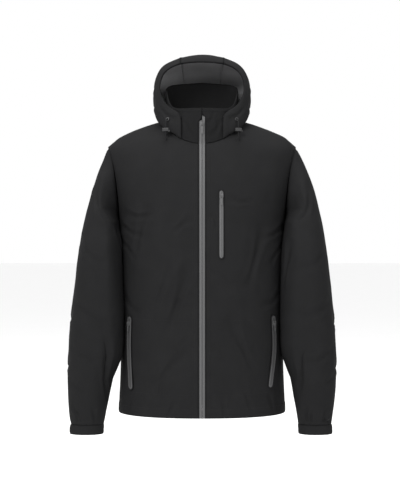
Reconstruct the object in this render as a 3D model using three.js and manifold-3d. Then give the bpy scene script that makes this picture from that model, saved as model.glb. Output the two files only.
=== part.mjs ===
// A men's softshell jacket, zipped up with its hood raised, hollow as if worn.
// Millimetres, +Z up, the front faces -Y and the wearer's left is +X.
// The origin is midway between the two high points of the shoulders, where it is held.

import * as THREE from 'three';
import Module from 'manifold-3d';
import { mergeVertices } from 'three/addons/utils/BufferGeometryUtils.js';

// Driving sizes
const CLOTH = 1.6;
const LINING = 1.2;
const SEAM_GAP = 0.3;
const NECK_HALF = 88;
const NECK_FRONT_DROP = 67;
const NECK_BACK_DROP = 5;
const SHOULDER_Z = -68;
const ARMPIT_Z = -250;
const ARMHOLE_SCOOP = { front: 0.19, back: 0.2 };
const ARMHOLE_STEPS = 9;
const ZIP_EDGE = 8.4;
const TAPE_EDGE = 8;
const CENTRE_EDGE = 0.15;
const SAME_FACE = 0.9;

// Torso sections: half width, depths in front of and behind the shoulder line, the y of the
// widest point, and how square the section is
const TORSO = [
  { z: -728, half: 209, front: 138, back: 122, side: 16, square: 2.3 },
  { z: -700, half: 208, front: 138, back: 121, side: 16, square: 2.3 },
  { z: -610, half: 204, front: 138, back: 120, side: 17, square: 2.3 },
  { z: -480, half: 204, front: 138, back: 122, side: 18, square: 2.3 },
  { z: -350, half: 206, front: 136, back: 128, side: 18, square: 2.35 },
  { z: -250, half: 208, front: 130, back: 132, side: 16, square: 2.4 },
  { z: -180, half: 220, front: 122, back: 134, side: 12, square: 2.4 },
  { z: -120, half: 230, front: 108, back: 126, side: 6, square: 2.4 },
  { z: -68, half: 235, front: 89, back: 115, side: 0, square: 2.4 },
  { z: -52, half: 220, front: 80, back: 111, side: 0, square: 2.4 },
  { z: -37, half: 192, front: 69, back: 104, side: 0, square: 2.4 },
  { z: -22, half: 156, front: 53, back: 96, side: 0, square: 2.4 },
  { z: -10, half: 121, front: 35, back: 87, side: 0, square: 2.4 },
  { z: -5, half: 104, front: 25, back: 82, side: 0, square: 2.4 },
  { z: 0, half: 88, front: 15, back: 76, side: 0, square: 2.4 },
];
const ROWS_BELOW_ARMPIT = [-728, -708, -664, -615, -563, -510, -460, -412, -367, -325, -286];

// Sleeve rings: outer and inner edges as seen from the front, half depth and middle in y
const SLEEVE = [
  { outLeft: 251, outRight: 246, outZ: -97, inLeft: 217, inRight: 217, inZ: -261, deep: 66, mid: 6 },
  { outLeft: 264, outRight: 259, outZ: -127, inLeft: 216, inRight: 216, inZ: -271, deep: 71, mid: 0 },
  { outLeft: 276, outRight: 270, outZ: -163, inLeft: 213, inRight: 213, inZ: -284, deep: 76, mid: -8 },
  { outLeft: 288, outRight: 282, outZ: -208, inLeft: 210, inRight: 210, inZ: -302, deep: 80, mid: -16 },
  { outLeft: 299, outRight: 294, outZ: -258, inLeft: 207, inRight: 207, inZ: -326, deep: 82, mid: -24 },
  { outLeft: 309, outRight: 306, outZ: -325, inLeft: 205, inRight: 205, inZ: -362, deep: 83, mid: -31 },
  { outLeft: 318, outRight: 314, outZ: -395, inLeft: 204, inRight: 204, inZ: -410, deep: 81, mid: -36 },
  { outLeft: 325, outRight: 322, outZ: -465, inLeft: 203, inRight: 203, inZ: -468, deep: 78, mid: -39 },
  { outLeft: 331, outRight: 329, outZ: -540, inLeft: 204, inRight: 204, inZ: -540, deep: 73, mid: -41 },
  { outLeft: 333, outRight: 332, outZ: -600, inLeft: 209, inRight: 208, inZ: -600, deep: 67, mid: -42 },
  { outLeft: 331, outRight: 332, outZ: -655, inLeft: 218, inRight: 219, inZ: -652, deep: 60, mid: -43 },
  { outLeft: 326, outRight: 330.5, outZ: -703, inLeft: 227, inRight: 229, inZ: -700, deep: 51, mid: -44 },
  { outLeft: 321, outRight: 327, outZ: -738, inLeft: 234, inRight: 237, inZ: -738, deep: 42, mid: -45 },
  { outLeft: 319, outRight: 323, outZ: -752, inLeft: 236, inRight: 241, inZ: -752, deep: 37, mid: -45 },
];
const SLEEVE_SQUARE = 2.15;
const CUFF = [
  { outLeft: 322, outRight: 327, outZ: -758, inLeft: 234.5, inRight: 240, inZ: -758, deep: 38, mid: -45 },
  { outLeft: 321, outRight: 326, outZ: -776, inLeft: 237, inRight: 242, inZ: -776, deep: 35.5, mid: -45 },
];

// Columns across the neckline: angles from the centre front, and from the centre back
const NECK_FRONT = [5.48, 16, 25, 34.6, 47, 58, 68.5, 79, 90];
const NECK_BACK = [0, 13.5, 27, 41, 54, 66, 78, 90];
const NECK_SHARE = 0.36;
const SHOULDER_STEPS = 5;
const BEND_FROM = -400;

// Collar: the top edge is an oval; its height runs up from the chin to the nape
const COLLAR = { half: 90, middle: -6, front: 78, back: 80, square: 2.2, bulge: 2.5 };
const COLLAR_TOP = [
  { turn: 0, z: 21 },
  { turn: 35, z: 20 },
  { turn: 52, z: 25 },
  { turn: 68, z: 44 },
  { turn: 82, z: 66 },
  { turn: 100, z: 81 },
  { turn: 130, z: 94 },
  { turn: 180, z: 103 },
];
const COLLAR_ROWS = [0, 0.3, 0.6, 0.72, 0.84, 1];
const COLLAR_CLOSED_FROM = { left: 4, right: 3 };

// Hood: arches from the rim (row 0) back to the nape (row 10), named points from the base
// to the centre line, for the wearer's left
const HOOD_STEPS = 10;
const HOOD_OFFSET = 2.2;
const HOOD_SEAM_GAP = 0.5;
const HOOD_LINING_GAP = 0.4;
const HOOD_LINED_FROM = 2;
const HOOD_FIRST = 3;
const HOOD = [
  { row: 0, low: [50, -84.6, -25], knee: [51, -81.4, 7], bend: [82, -67, 23],
    side: [107, -43, 74], high: [96, -28, 113.5], crown: [54, -21, 138.5], centre: [0, -20, 142.7] },
  { row: 1, low: [72, -83, -50], knee: [82, -79, -22], bend: [102, -58, 12],
    side: [119, -28, 68], high: [103, -10, 132], crown: [54, -4, 156], centre: [0, -3, 161] },
  { row: 3, low: [94, -64, -32], knee: [110, -44, -11], bend: [119, -26, 20],
    side: [122.5, 4, 72], high: [104, 28, 131], crown: [54, 38, 155], centre: [0, 40, 161] },
  { row: 5, low: [103, -2, -1], knee: [115, 3, 5], bend: [121, 12, 30],
    side: [121, 42, 76], high: [102, 66, 124], crown: [53, 78, 149], centre: [0, 80, 155] },
  { row: 7, low: [92, 42, 1], knee: [102, 50, 9], bend: [109, 62, 34],
    side: [103, 92, 72], high: [82, 115, 106], crown: [50, 127, 126], centre: [0, 132, 131] },
  { row: 9, low: [64, 74, 2], knee: [69, 84, 10], bend: [73, 97, 24],
    side: [70, 116, 48], high: [60, 130, 70], crown: [46, 139, 82], centre: [0, 147, 87] },
  { row: 10, low: [40, 88, 1], knee: [40.5, 100, 8], bend: [41, 113, 17],
    side: [42, 124, 27], high: [42.5, 132, 37], crown: [43, 137, 48], centre: [0, 144, 50] },
];
const HOOD_POINTS = ['low', 'knee', 'bend', 'side', 'high', 'crown', 'centre'];

// The largest folds, from one end to the other in the front view; deep is inward.
// They fade out over the last steps of the grid before a seam.
const FOLD_FADE = 2;
const FOLDS = [
  { on: 'front_right', x0: -128, z0: -212, x1: -163, z1: -335, wide: 20, deep: 4.5 },
  { on: 'front_right', x0: -25, z0: -350, x1: -84, z1: -530, wide: 22, deep: 5 },
  { on: 'front_right', x0: -60, z0: -330, x1: -125, z1: -500, wide: 20, deep: -3 },
  { on: 'front_right', x0: -36, z0: -570, x1: -110, z1: -650, wide: 20, deep: 3.5 },
  { on: 'front_left', x0: 150, z0: -260, x1: 110, z1: -420, wide: 22, deep: 3.5 },
  { on: 'front_left', x0: 60, z0: -480, x1: 130, z1: -620, wide: 22, deep: 3 },
  { on: 'back', x0: -165, z0: -230, x1: -60, z1: -400, wide: 22, deep: 5 },
  { on: 'back', x0: 160, z0: -245, x1: 75, z1: -430, wide: 22, deep: 4.5 },
  { on: 'back', x0: -120, z0: -420, x1: 30, z1: -480, wide: 20, deep: 4 },
  { on: 'back', x0: 130, z0: -520, x1: -10, z1: -585, wide: 22, deep: 4 },
  { on: 'sleeve_right', side: -1, x0: -228, z0: -255, x1: -212, z1: -400, wide: 14, deep: 6 },
  { on: 'sleeve_right', side: -1, x0: -250, z0: -530, x1: -232, z1: -690, wide: 14, deep: 5 },
  { on: 'sleeve_left', side: -1, x0: 232, z0: -300, x1: 217, z1: -420, wide: 14, deep: 4 },
  { on: 'sleeve_left', side: -1, x0: 258, z0: -560, x1: 236, z1: -660, wide: 14, deep: 5 },
  { on: 'sleeve_right', side: 1, x0: -310, z0: -430, x1: -240, z1: -500, wide: 18, deep: 6 },
  { on: 'sleeve_left', side: 1, x0: 312, z0: -440, x1: 245, z1: -480, wide: 18, deep: 6 },
  { on: 'sleeve_left', side: 1, x0: 320, z0: -560, x1: 250, z1: -600, wide: 18, deep: 5 },
];

// Pocket zips: the centre line in the front view, from top to bottom
const ZIP_HALF = 5.4;
const STRIP_LIFT = 0.8;
const STRIP_THICK = 1.3;
const CHEST_ZIP = [[46, -182], [46, -264], [46, -345]];
const POCKET_ZIPS = {
  left: [[173, -485], [175.5, -555], [165, -659]],
  right: [[-176, -487], [-177.5, -555], [-173, -664]],
};
const STRIP_ROWS = [
  0, 0.012, 0.036, 0.1, 0.16, 0.22, 0.29, 0.36, 0.43, 0.5, 0.57, 0.64, 0.71, 0.78, 0.84, 0.9, 0.964,
  0.988, 1,
];
const COIL = { half: 2.6, lift: 1.5, thick: 1.8 };

// Sliders and pull tabs; a tab's bar lies under its slider's bridge
const SLIDER = {
  wide: 9, tall: 11, thick: 2.2, lift: 0.35, bridgeWide: 1.8, bridgeHalf: 4, bridge: 1, room: 2.4,
};
const CHEST_SLOPE = 0.7;
const TAB = { half: 2.7, thick: 1.2, bar: 0.75, holeHalf: 1.5, holeEnd: 5.4 };
const PULLS = {
  zip: { z: -19, length: 24 },
  chest: { x: 46, z: -195, length: 22 },
  pocketLeft: { x: 174, z: -503, length: 19 },
  pocketRight: { x: -176.6, z: -505, length: 19 },
};

// Drawcord ends: an eyelet on each wing of the hood, the cord out of it and down, its lock and knot
const CORD = { diameter: 2.6, sides: 8, steps: 26, knot: 2.7 };
const CORD_ROUTE = [
  { out: 0.8, down: 0 },
  { out: 2.2, down: 0 },
  { out: 3.6, down: 0.1 },
  { out: 5, down: 0.45 },
  { out: 6.4, down: 1.1 },
  { out: 7.6, down: 2 },
  { out: 8.6, down: 3.2 },
  { out: 9.4, down: 4.7 },
  { out: 9.95, down: 6.4 },
  { out: 10.3, down: 8.4 },
  { out: 10.45, down: 11 },
  { out: 10.5, down: 16 },
  { out: 10.5, down: 22 },
  { out: 10.5, down: 29 },
  { out: 10.5, down: 37 },
  { out: 10.5, down: 45 },
];
const EYELET = { x: 84, z: -6, outer: 4.6, inner: 2.3, thick: 1.2, lift: 0.8 };
const LOCK = { wide: 17, deep: 7, tall: 8, hole: 1.9, down: 26, corner: 2.4 };

// Finishes
const SHELL = { color: 0x2b2b2c, roughness: 0.86, metalness: 0 };
const FLEECE = { color: 0x1f1f20, roughness: 0.95, metalness: 0 };
const HOOD_LINING = { color: 0x414143, roughness: 0.9, metalness: 0 };
const TAPE = { color: 0x6d6d6e, roughness: 0.6, metalness: 0 };
const METAL = { color: 0x7b7b7d, roughness: 0.4, metalness: 0.6 };
const PLASTIC = { color: 0x1b1b1c, roughness: 0.45, metalness: 0 };
const CORD_FINISH = { color: 0x1d1d1e, roughness: 0.85, metalness: 0 };

const wasm = await Module();
wasm.setup();
const jacket = new THREE.Group();
const radians = THREE.MathUtils.degToRad;
const vector = (point) => new THREE.Vector3(...point);

/** A smooth curve through one column of a table, flat where the column turns. */
function column(rows, along, name) {
  const at = rows.map((row) => row[along]);
  const value = rows.map((row) => row[name]);
  const rise = value.slice(1).map((next, k) => (next - value[k]) / (at[k + 1] - at[k]));
  const slope = at.map((_, k) => {
    if (k === 0) return rise[0];
    if (k === rise.length) return rise[k - 1];
    if (rise[k - 1] * rise[k] <= 0) return 0;
    const before = at[k] - at[k - 1];
    const after = at[k + 1] - at[k];
    const near = 2 * after + before;
    const far = after + 2 * before;
    return (near + far) / (near / rise[k - 1] + far / rise[k]);
  });
  return (wanted) => {
    const place = Math.min(Math.max(wanted, at[0]), at[at.length - 1]);
    let k = 0;
    while (k < rise.length - 1 && place > at[k + 1]) k += 1;
    const step = at[k + 1] - at[k];
    const s = (place - at[k]) / step;
    const t = 1 - s;
    return value[k] * t * t * (1 + 2 * s) + value[k + 1] * s * s * (1 + 2 * t)
      + step * s * t * (slope[k] * t - slope[k + 1] * s);
  };
}

/** A signed power, which makes a circle's sine and cosine into a squarer oval's. */
function oval(value, square) {
  return Math.sign(value) * Math.abs(value) ** (2 / square);
}

// Torso surface: a point by height and by its share of the way from the centre to the side
const torsoColumn = Object.fromEntries(['half', 'front', 'back', 'side', 'square']
  .map((name) => [name, column(TORSO, 'z', name)]));
const sections = new Map();

function torsoSection(z, face) {
  const key = `${face} ${z}`;
  if (sections.has(key)) return sections.get(key);
  const [half, front, back, side, square] = ['half', 'front', 'back', 'side', 'square']
    .map((name) => torsoColumn[name](z));
  const depth = face === 'front' ? -(front + side) : back - side;
  const steps = 60;
  const points = [];
  for (let k = 0; k <= steps; k += 1) {
    const turn = (k / steps) * Math.PI / 2;
    const x = half * oval(Math.sin(turn), square);
    const y = side + depth * oval(Math.cos(turn), square);
    const last = points[k - 1];
    const share = last ? last.share + Math.hypot(x - last.x, y - last.y) : 0;
    points.push({ x, y, share });
  }
  const length = points[steps].share;
  for (const point of points) point.share /= length;
  sections.set(key, points);
  return points;
}

function between(points, along, wanted) {
  let k = 1;
  while (k < points.length - 1 && points[k][along] < wanted) k += 1;
  const [a, b] = [points[k - 1], points[k]];
  const s = (wanted - a[along]) / (b[along] - a[along]);
  const mix = Math.min(Math.max(s, 0), 1);
  const mixed = (name) => a[name] + (b[name] - a[name]) * mix;
  return { x: mixed('x'), y: mixed('y'), share: mixed('share') };
}

function torsoPoint(z, share, face) {
  const { x, y } = between(torsoSection(z, face), 'share', share);
  return new THREE.Vector3(x, y, z);
}

function shareAt(z, x, face) {
  return between(torsoSection(z, face), 'x', x).share;
}

function shoulderHeight(x) {
  let [low, high] = [SHOULDER_Z, 0];
  for (let k = 0; k < 40; k += 1) {
    const middle = (low + high) / 2;
    if (torsoColumn.half(middle) > x) low = middle;
    else high = middle;
  }
  return (low + high) / 2;
}

const armholeTurns = Array.from({ length: ARMHOLE_STEPS + 1 }, (_, k) => (k / ARMHOLE_STEPS) * Math.PI);
const armholeMiddle = (ARMPIT_Z + SHOULDER_Z) / 2;
const armholeHalf = (SHOULDER_Z - ARMPIT_Z) / 2;
const armholeRows = armholeTurns.map((turn) => armholeMiddle - armholeHalf * Math.cos(turn));
const torsoRows = [...ROWS_BELOW_ARMPIT, ...armholeRows];
const armpitRow = ROWS_BELOW_ARMPIT.length;
const topRow = torsoRows.length - 1;

/** One half of the front or back: rows from the hem up, columns from the centre to the side. */
function torsoHalf(face) {
  const turns = face === 'front' ? NECK_FRONT : NECK_BACK;
  const drop = face === 'front' ? NECK_FRONT_DROP : NECK_BACK_DROP;
  const top = turns.map((turn, k) => {
    const z = -drop * Math.cos(radians(turn));
    const share = shareAt(z, NECK_HALF * Math.sin(radians(turn)), face);
    return { across: (NECK_SHARE * k) / (turns.length - 1), z, share };
  });
  for (let k = 1; k <= SHOULDER_STEPS; k += 1) {
    const part = k / SHOULDER_STEPS;
    const z = shoulderHeight(NECK_HALF + (torsoColumn.half(SHOULDER_Z) - NECK_HALF) * part);
    top.push({ across: NECK_SHARE + (1 - NECK_SHARE) * part, z, share: 1 });
  }
  const innerX = face === 'front' ? ZIP_EDGE : 0;
  return torsoRows.map((level, r) => {
    const bend = Math.max(0, (level - BEND_FROM) / (SHOULDER_Z - BEND_FROM)) ** 3;
    const inner = shareAt(level, innerX, face);
    const scoop = r > armpitRow ? ARMHOLE_SCOOP[face] * Math.sin(armholeTurns[r - armpitRow]) : 0;
    return top.map((edge, c) => {
      const z = level + bend * (edge.z - SHOULDER_Z);
      const straight = inner + (1 - scoop - inner) * edge.across;
      const plain = inner + (1 - inner) * edge.across;
      const share = c === 0 ? shareAt(z, innerX, face) : straight + bend * (edge.share - plain);
      return torsoPoint(z, Math.min(share, 1), face);
    });
  });
}

const mirrored = (grid) => grid.map((row) => row.map((p) => new THREE.Vector3(-p.x, p.y, p.z)));

/** A sheet of cloth: a grid of outer points, closed into a ring or open at its sides. */
function sheet(name, grid, middle, ring = false) {
  const piece = { name, ring, middle, grid };
  const flat = grid[0].map(() => new THREE.Vector3());
  piece.shift = grid.map(() => flat.map((zero) => zero.clone()));
  setNormals(piece);
  return piece;
}

function neighbour(piece, r, c) {
  const count = piece.grid[0].length;
  return piece.grid[r][piece.ring ? (c + count) % count : Math.min(Math.max(c, 0), count - 1)];
}

function setNormals(piece) {
  const last = piece.grid.length - 1;
  let facing = 0;
  piece.normal = piece.grid.map((row, r) => row.map((point, c) => {
    const up = piece.grid[Math.min(r + 1, last)][c].clone().sub(piece.grid[Math.max(r - 1, 0)][c]);
    const across = neighbour(piece, r, c + 1).clone().sub(neighbour(piece, r, c - 1));
    const normal = across.cross(up).normalize();
    facing += normal.dot(point.clone().sub(piece.middle(point)));
    return normal;
  }));
  piece.turned = facing < 0;
  if (piece.turned) piece.normal.forEach((row) => row.forEach((normal) => normal.negate()));
  piece.own = piece.normal.map((row) => row.map((normal) => normal.clone()));
}

/** Every edge point of a sheet with the sheet's own point one step in from it. */
function edgePoints(piece) {
  const [rows, columns] = [piece.grid.length, piece.grid[0].length];
  const list = [];
  for (let r = 0; r < rows; r += 1) {
    for (let c = 0; c < columns; c += 1) {
      const onSide = !piece.ring && (c === 0 || c === columns - 1);
      if (r === 0 || r === rows - 1 || onSide) {
        const inRow = Math.min(Math.max(r, 1), rows - 2);
        const inColumn = piece.ring ? c : Math.min(Math.max(c, 1), columns - 2);
        list.push({ piece, r, c, inside: piece.grid[Math.max(inRow, 0)][Math.max(inColumn, 0)] });
      }
    }
  }
  return list;
}

function seams(pieces) {
  const places = new Map();
  for (const edge of pieces.flatMap(edgePoints)) {
    const point = edge.piece.grid[edge.r][edge.c];
    const key = point.toArray().map((value) => Math.round(value * 20)).join(' ');
    places.set(key, [...(places.get(key) ?? []), edge]);
  }
  return [...places.values()].filter((edges) => new Set(edges.map((edge) => edge.piece)).size > 1);
}

/** At a seam both sheets' walls lie along one shared direction, so that they meet edge to edge. */
function shareNormals(pieces) {
  for (const edges of seams(pieces)) {
    const faces = [];
    for (const { piece, r, c } of edges) {
      const normal = piece.normal[r][c];
      if (!faces.some((face) => face.dot(normal) > SAME_FACE)) faces.push(normal);
    }
    const shared = faces.reduce((sum, face) => sum.add(face), new THREE.Vector3()).normalize();
    for (const { piece, r, c } of edges) piece.normal[r][c] = shared;
  }
}

/** Draws the sheets of each seam apart by the seam gap, along the cloth or off its face. */
function openSeams(pieces, gap = SEAM_GAP) {
  for (const edges of seams(pieces)) {
    const own = edges.map(({ piece, r, c, inside }) => {
      const inward = inside.clone().sub(piece.grid[r][c]).normalize();
      return inward.sub(piece.own[r][c]);
    });
    edges.forEach(({ piece, r, c }, k) => {
      const others = new THREE.Vector3();
      own.forEach((inward, other) => {
        if (other !== k) others.add(inward);
      });
      const away = own[k].clone().sub(others.divideScalar(own.length - 1));
      piece.shift[r][c].add(away.setLength(gap / 2));
    });
  }
}

/** A part of a sheet that keeps the whole sheet's normals. */
function cut(name, piece, rows, columns) {
  const take = (grid) => grid.slice(...rows).map((row) => row.slice(...columns).map((v) => v.clone()));
  const part = { name, ring: false, middle: piece.middle, turned: piece.turned };
  part.grid = take(piece.grid);
  part.normal = take(piece.normal);
  part.own = take(piece.normal);
  part.shift = part.grid.map((row) => row.map(() => new THREE.Vector3()));
  return part;
}

/** Moves a sheet's inner points by the folds that lie on it; its seams stay. */
function fold(piece) {
  const folds = FOLDS.filter((one) => one.on === piece.name);
  const columns = piece.grid[0].length;
  piece.grid = piece.grid.map((row, r) => row.map((point, c) => {
    const steps = [r, piece.grid.length - 1 - r, ...(piece.ring ? [] : [c, columns - 1 - c])];
    const fade = Math.min(1, Math.min(...steps) / FOLD_FADE);
    let depth = 0;
    for (const one of folds) {
      if (one.side && Math.sign(point.y - piece.middle(point).y) !== one.side) continue;
      const [runX, runZ] = [one.x1 - one.x0, one.z1 - one.z0];
      const length = Math.hypot(runX, runZ);
      const along = ((point.x - one.x0) * runX + (point.z - one.z0) * runZ) / length;
      const off = ((point.x - one.x0) * runZ - (point.z - one.z0) * runX) / length;
      const beyond = Math.max(0, -along, along - length);
      depth += one.deep * Math.exp(-((off / one.wide) ** 2) - (beyond / (2 * one.wide)) ** 2);
    }
    return point.clone().addScaledVector(piece.normal[r][c], -depth * fade);
  }));
  setNormals(piece);
}

/** Whether the cell that starts at a row and column is split from its first corner. */
function splitsFromFirst(piece, r, c) {
  const [a, b] = [piece.grid[r][c], neighbour(piece, r, c + 1)];
  const [d, opposite] = [piece.grid[r + 1][c], neighbour(piece, r + 1, c + 1)];
  return a.distanceTo(opposite) <= b.distanceTo(d);
}

/** A closed wall between two offsets of a sheet: lift is the outer face's, inward is positive. */
function wall(piece, lift, thick) {
  const [rows, columns] = [piece.grid.length, piece.grid[0].length];
  const positions = [];
  for (const depth of [lift, lift + thick]) {
    for (let r = 0; r < rows; r += 1) {
      for (let c = 0; c < columns; c += 1) {
        const point = piece.grid[r][c].clone().add(piece.shift[r][c]);
        positions.push(...point.addScaledVector(piece.normal[r][c], -depth).toArray());
      }
    }
  }
  const inner = rows * columns;
  const index = [];
  const triangle = (a, b, c) => index.push(...(piece.turned ? [a, c, b] : [a, b, c]));
  const quad = (a, b, c, d, first = true) => {
    triangle(a, b, first ? c : d);
    triangle(first ? a : b, c, d);
  };
  const spans = piece.ring ? columns : columns - 1;
  for (let r = 0; r < rows - 1; r += 1) {
    for (let c = 0; c < spans; c += 1) {
      const [a, b] = [r * columns + c, r * columns + ((c + 1) % columns)];
      const first = splitsFromFirst(piece, r, c);
      quad(a, b, b + columns, a + columns, first);
      quad(a + inner, a + columns + inner, b + columns + inner, b + inner, first);
    }
  }
  const top = (rows - 1) * columns;
  for (let c = 0; c < spans; c += 1) {
    const next = (c + 1) % columns;
    quad(c + inner, next + inner, next, c);
    quad(top + c, top + next, top + next + inner, top + c + inner);
  }
  if (!piece.ring) {
    for (let r = 0; r < rows - 1; r += 1) {
      const [a, b] = [r * columns, (r + 1) * columns];
      const [c, d] = [a + columns - 1, b + columns - 1];
      quad(a, b, b + inner, a + inner);
      quad(c + inner, d + inner, d, c);
    }
  }
  const geometry = new THREE.BufferGeometry();
  geometry.setAttribute('position', new THREE.Float32BufferAttribute(positions, 3));
  geometry.setIndex(index);
  return geometry;
}

function add(name, geometry, finish, parent = jacket) {
  const mesh = new THREE.Mesh(geometry, new THREE.MeshStandardMaterial(finish));
  mesh.name = name;
  parent.add(mesh);
  return mesh;
}

// Fronts and back
const torsoMiddle = (point) => new THREE.Vector3(0, 0, point.z - 40);
const frontHalf = torsoHalf('front');
const backHalf = torsoHalf('back');
const backGrid = backHalf.map((row, r) => [...mirrored(backHalf)[r].slice(1).reverse(), ...row]);
const frontLeft = sheet('front_left', frontHalf, torsoMiddle);
const frontRight = sheet('front_right', mirrored(frontHalf), torsoMiddle);
const back = sheet('back', backGrid, torsoMiddle);
const frontColumns = frontHalf[0].length;
const backColumns = backGrid[0].length;

/** A ring of points between an outer and an inner edge, from the outer edge round by the front. */
function sleeveRing(row, hand) {
  const side = hand === 'Left' ? 1 : -1;
  const outer = new THREE.Vector3(side * row[`out${hand}`], row.mid, row.outZ);
  const inner = new THREE.Vector3(side * row[`in${hand}`], row.mid, row.inZ);
  const centre = outer.clone().add(inner).divideScalar(2);
  const reach = outer.clone().sub(centre);
  const count = 2 * ARMHOLE_STEPS;
  return Array.from({ length: count }, (_, k) => {
    const turn = (2 * Math.PI * k) / count;
    const point = centre.clone().addScaledVector(reach, oval(Math.cos(turn), SLEEVE_SQUARE));
    point.y -= row.deep * oval(Math.sin(turn), SLEEVE_SQUARE);
    return point;
  });
}

function armholeRing(side) {
  const frontGrid = side > 0 ? frontLeft.grid : frontRight.grid;
  const backEdge = side > 0 ? backColumns - 1 : 0;
  const ring = [];
  for (let r = topRow; r >= armpitRow; r -= 1) ring.push(frontGrid[r][frontColumns - 1].clone());
  for (let r = armpitRow + 1; r < topRow; r += 1) ring.push(back.grid[r][backEdge].clone());
  return ring;
}

function ringMiddle(grid) {
  const centres = grid.map((row) => {
    const sum = new THREE.Vector3();
    for (const point of row) sum.add(point);
    return sum.divideScalar(row.length);
  });
  return (point) => centres.reduce((best, c) => (c.distanceTo(point) < best.distanceTo(point) ? c : best));
}

const sleeves = [];
const cuffs = [];
for (const [hand, side] of [['Left', 1], ['Right', -1]]) {
  const end = SLEEVE.map((row) => sleeveRing(row, hand));
  const grid = [armholeRing(side), ...end];
  const cuffGrid = [end[end.length - 1].map((p) => p.clone()), ...CUFF.map((row) => sleeveRing(row, hand))];
  sleeves.push(sheet(`sleeve_${hand.toLowerCase()}`, grid, ringMiddle(grid), true));
  cuffs.push(sheet(`cuff_${hand.toLowerCase()}`, cuffGrid, ringMiddle(cuffGrid), true));
}

// Collar, from the front edge on the wearer's left round the neck to the other front edge
const collarHeight = column(COLLAR_TOP, 'turn', 'z');
const collarTurns = [...NECK_FRONT, ...NECK_BACK.slice(0, -1).reverse().map((turn) => 180 - turn)];
const backCentre = (backColumns - 1) / 2;

function neckPoint(k) {
  if (k < NECK_FRONT.length) return frontLeft.grid[topRow][k];
  return back.grid[topRow][backCentre + NECK_FRONT.length + NECK_BACK.length - 2 - k];
}

function collarHalf(closedFrom) {
  return COLLAR_ROWS.map((height, r) => collarTurns.map((turn, k) => {
    const base = neckPoint(k);
    const [sine, cosine] = [Math.sin(radians(turn)), Math.cos(radians(turn))];
    const depth = cosine > 0 ? COLLAR.front : COLLAR.back;
    const top = new THREE.Vector3(COLLAR.half * oval(sine, COLLAR.square),
      COLLAR.middle - depth * oval(cosine, COLLAR.square), collarHeight(turn));
    const point = base.clone().lerp(top, height);
    const out = new THREE.Vector3(sine, -cosine, 0);
    point.addScaledVector(out, COLLAR.bulge * Math.sin(Math.PI * height));
    if (k === 0) point.x = r < closedFrom ? ZIP_EDGE : CENTRE_EDGE;
    return point;
  }));
}

const collarLeft = collarHalf(COLLAR_CLOSED_FROM.left);
const collarRight = mirrored(collarHalf(COLLAR_CLOSED_FROM.right));
const collarGrid = collarLeft.map((row, r) => [...row, ...collarRight[r].slice(0, -1).reverse()]);
const collarMiddle = (point) => new THREE.Vector3(0, 0, point.z);
const collar = sheet('collar', collarGrid, collarMiddle);

const shellPieces = [frontLeft, frontRight, back, ...sleeves, ...cuffs, collar];
[frontLeft, frontRight, back, ...sleeves].forEach(fold);
shareNormals(shellPieces);
openSeams(shellPieces);
for (const piece of shellPieces) add(piece.name, wall(piece, 0, CLOTH), SHELL);

const collarLining = cut('collar_lining', collar, [0], [0]);
add('collar_lining', wall(collarLining, CLOTH + SEAM_GAP, LINING), FLEECE);

// Hood: the base follows the neck seam, from beside the collar's front to behind the nape

function hoodBase(row) {
  const k = HOOD_FIRST + row;
  const piece = k < NECK_FRONT.length ? frontLeft : back;
  const c = k < NECK_FRONT.length ? k : backCentre + NECK_FRONT.length + NECK_BACK.length - 2 - k;
  return piece.grid[topRow][c].clone().addScaledVector(piece.normal[topRow][c], HOOD_OFFSET);
}

function alongCurve(points) {
  let length = 0;
  const rows = points.map((point, k) => {
    if (k > 0) length += point.distanceTo(points[k - 1]);
    return { length, x: point.x, y: point.y, z: point.z };
  });
  const [x, y, z] = ['x', 'y', 'z'].map((name) => column(rows, 'length', name));
  const at = (place) => new THREE.Vector3(x(place), y(place), z(place));
  return { at, lengths: rows.map((row) => row.length) };
}

const archSamples = HOOD.map((arch) => {
  const points = [hoodBase(arch.row), ...HOOD_POINTS.map((name) => vector(arch[name]))];
  const crown = points[points.length - 2];
  const curve = alongCurve([...points, new THREE.Vector3(-crown.x, crown.y, crown.z)]);
  const crownAt = curve.lengths[points.length - 2];
  const centreAt = curve.lengths[points.length - 1];
  const samples = [];
  for (let k = 0; k <= HOOD_STEPS; k += 1) samples.push(curve.at((crownAt * k) / HOOD_STEPS));
  samples.push(curve.at((crownAt + centreAt) / 2), curve.at(centreAt));
  return samples;
});

const hoodGrid = Array.from({ length: HOOD_STEPS + 1 }, () => []);
archSamples[0].forEach((_, k) => {
  const rows = HOOD.map((arch, r) => ({ row: arch.row, ...archSamples[r][k] }));
  const [x, y, z] = ['x', 'y', 'z'].map((name) => column(rows, 'row', name));
  hoodGrid.forEach((line, row) => {
    line.push(k === 0 ? hoodBase(row) : new THREE.Vector3(x(row), y(row), z(row)));
  });
});

const hoodMiddle = (point) => new THREE.Vector3(point.x * 0.6, 20, 50);
const mirror = (p) => new THREE.Vector3(-p.x, p.y, p.z);
const sideGrid = hoodGrid.map((line) => line.slice(0, HOOD_STEPS + 1));
const centreTop = hoodGrid.map((line) => {
  const [crown, quarter, centre] = line.slice(HOOD_STEPS);
  return [mirror(crown), mirror(quarter), centre, quarter, crown.clone()];
});
const [, , tailCentre, tailQuarter, tailEdge] = centreTop[HOOD_STEPS];
const [napeEdge, napeQuarter, napeCentre] = [0, 1, 2].map((k) => hoodBase(HOOD_STEPS + k));
const centreTail = sideGrid[HOOD_STEPS].slice(0, HOOD_STEPS).reverse().map((edge, k) => {
  const down = (k + 1) / HOOD_STEPS;
  const [centre, quarter] = [[tailCentre, napeCentre], [tailQuarter, napeQuarter]].map(([high, low]) => {
    const reach = high.clone().sub(tailEdge).lerp(low.clone().sub(napeEdge), down);
    return edge.clone().add(reach);
  });
  centre.x = 0;
  return [mirror(edge), mirror(quarter), centre, quarter, edge.clone()];
});
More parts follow.
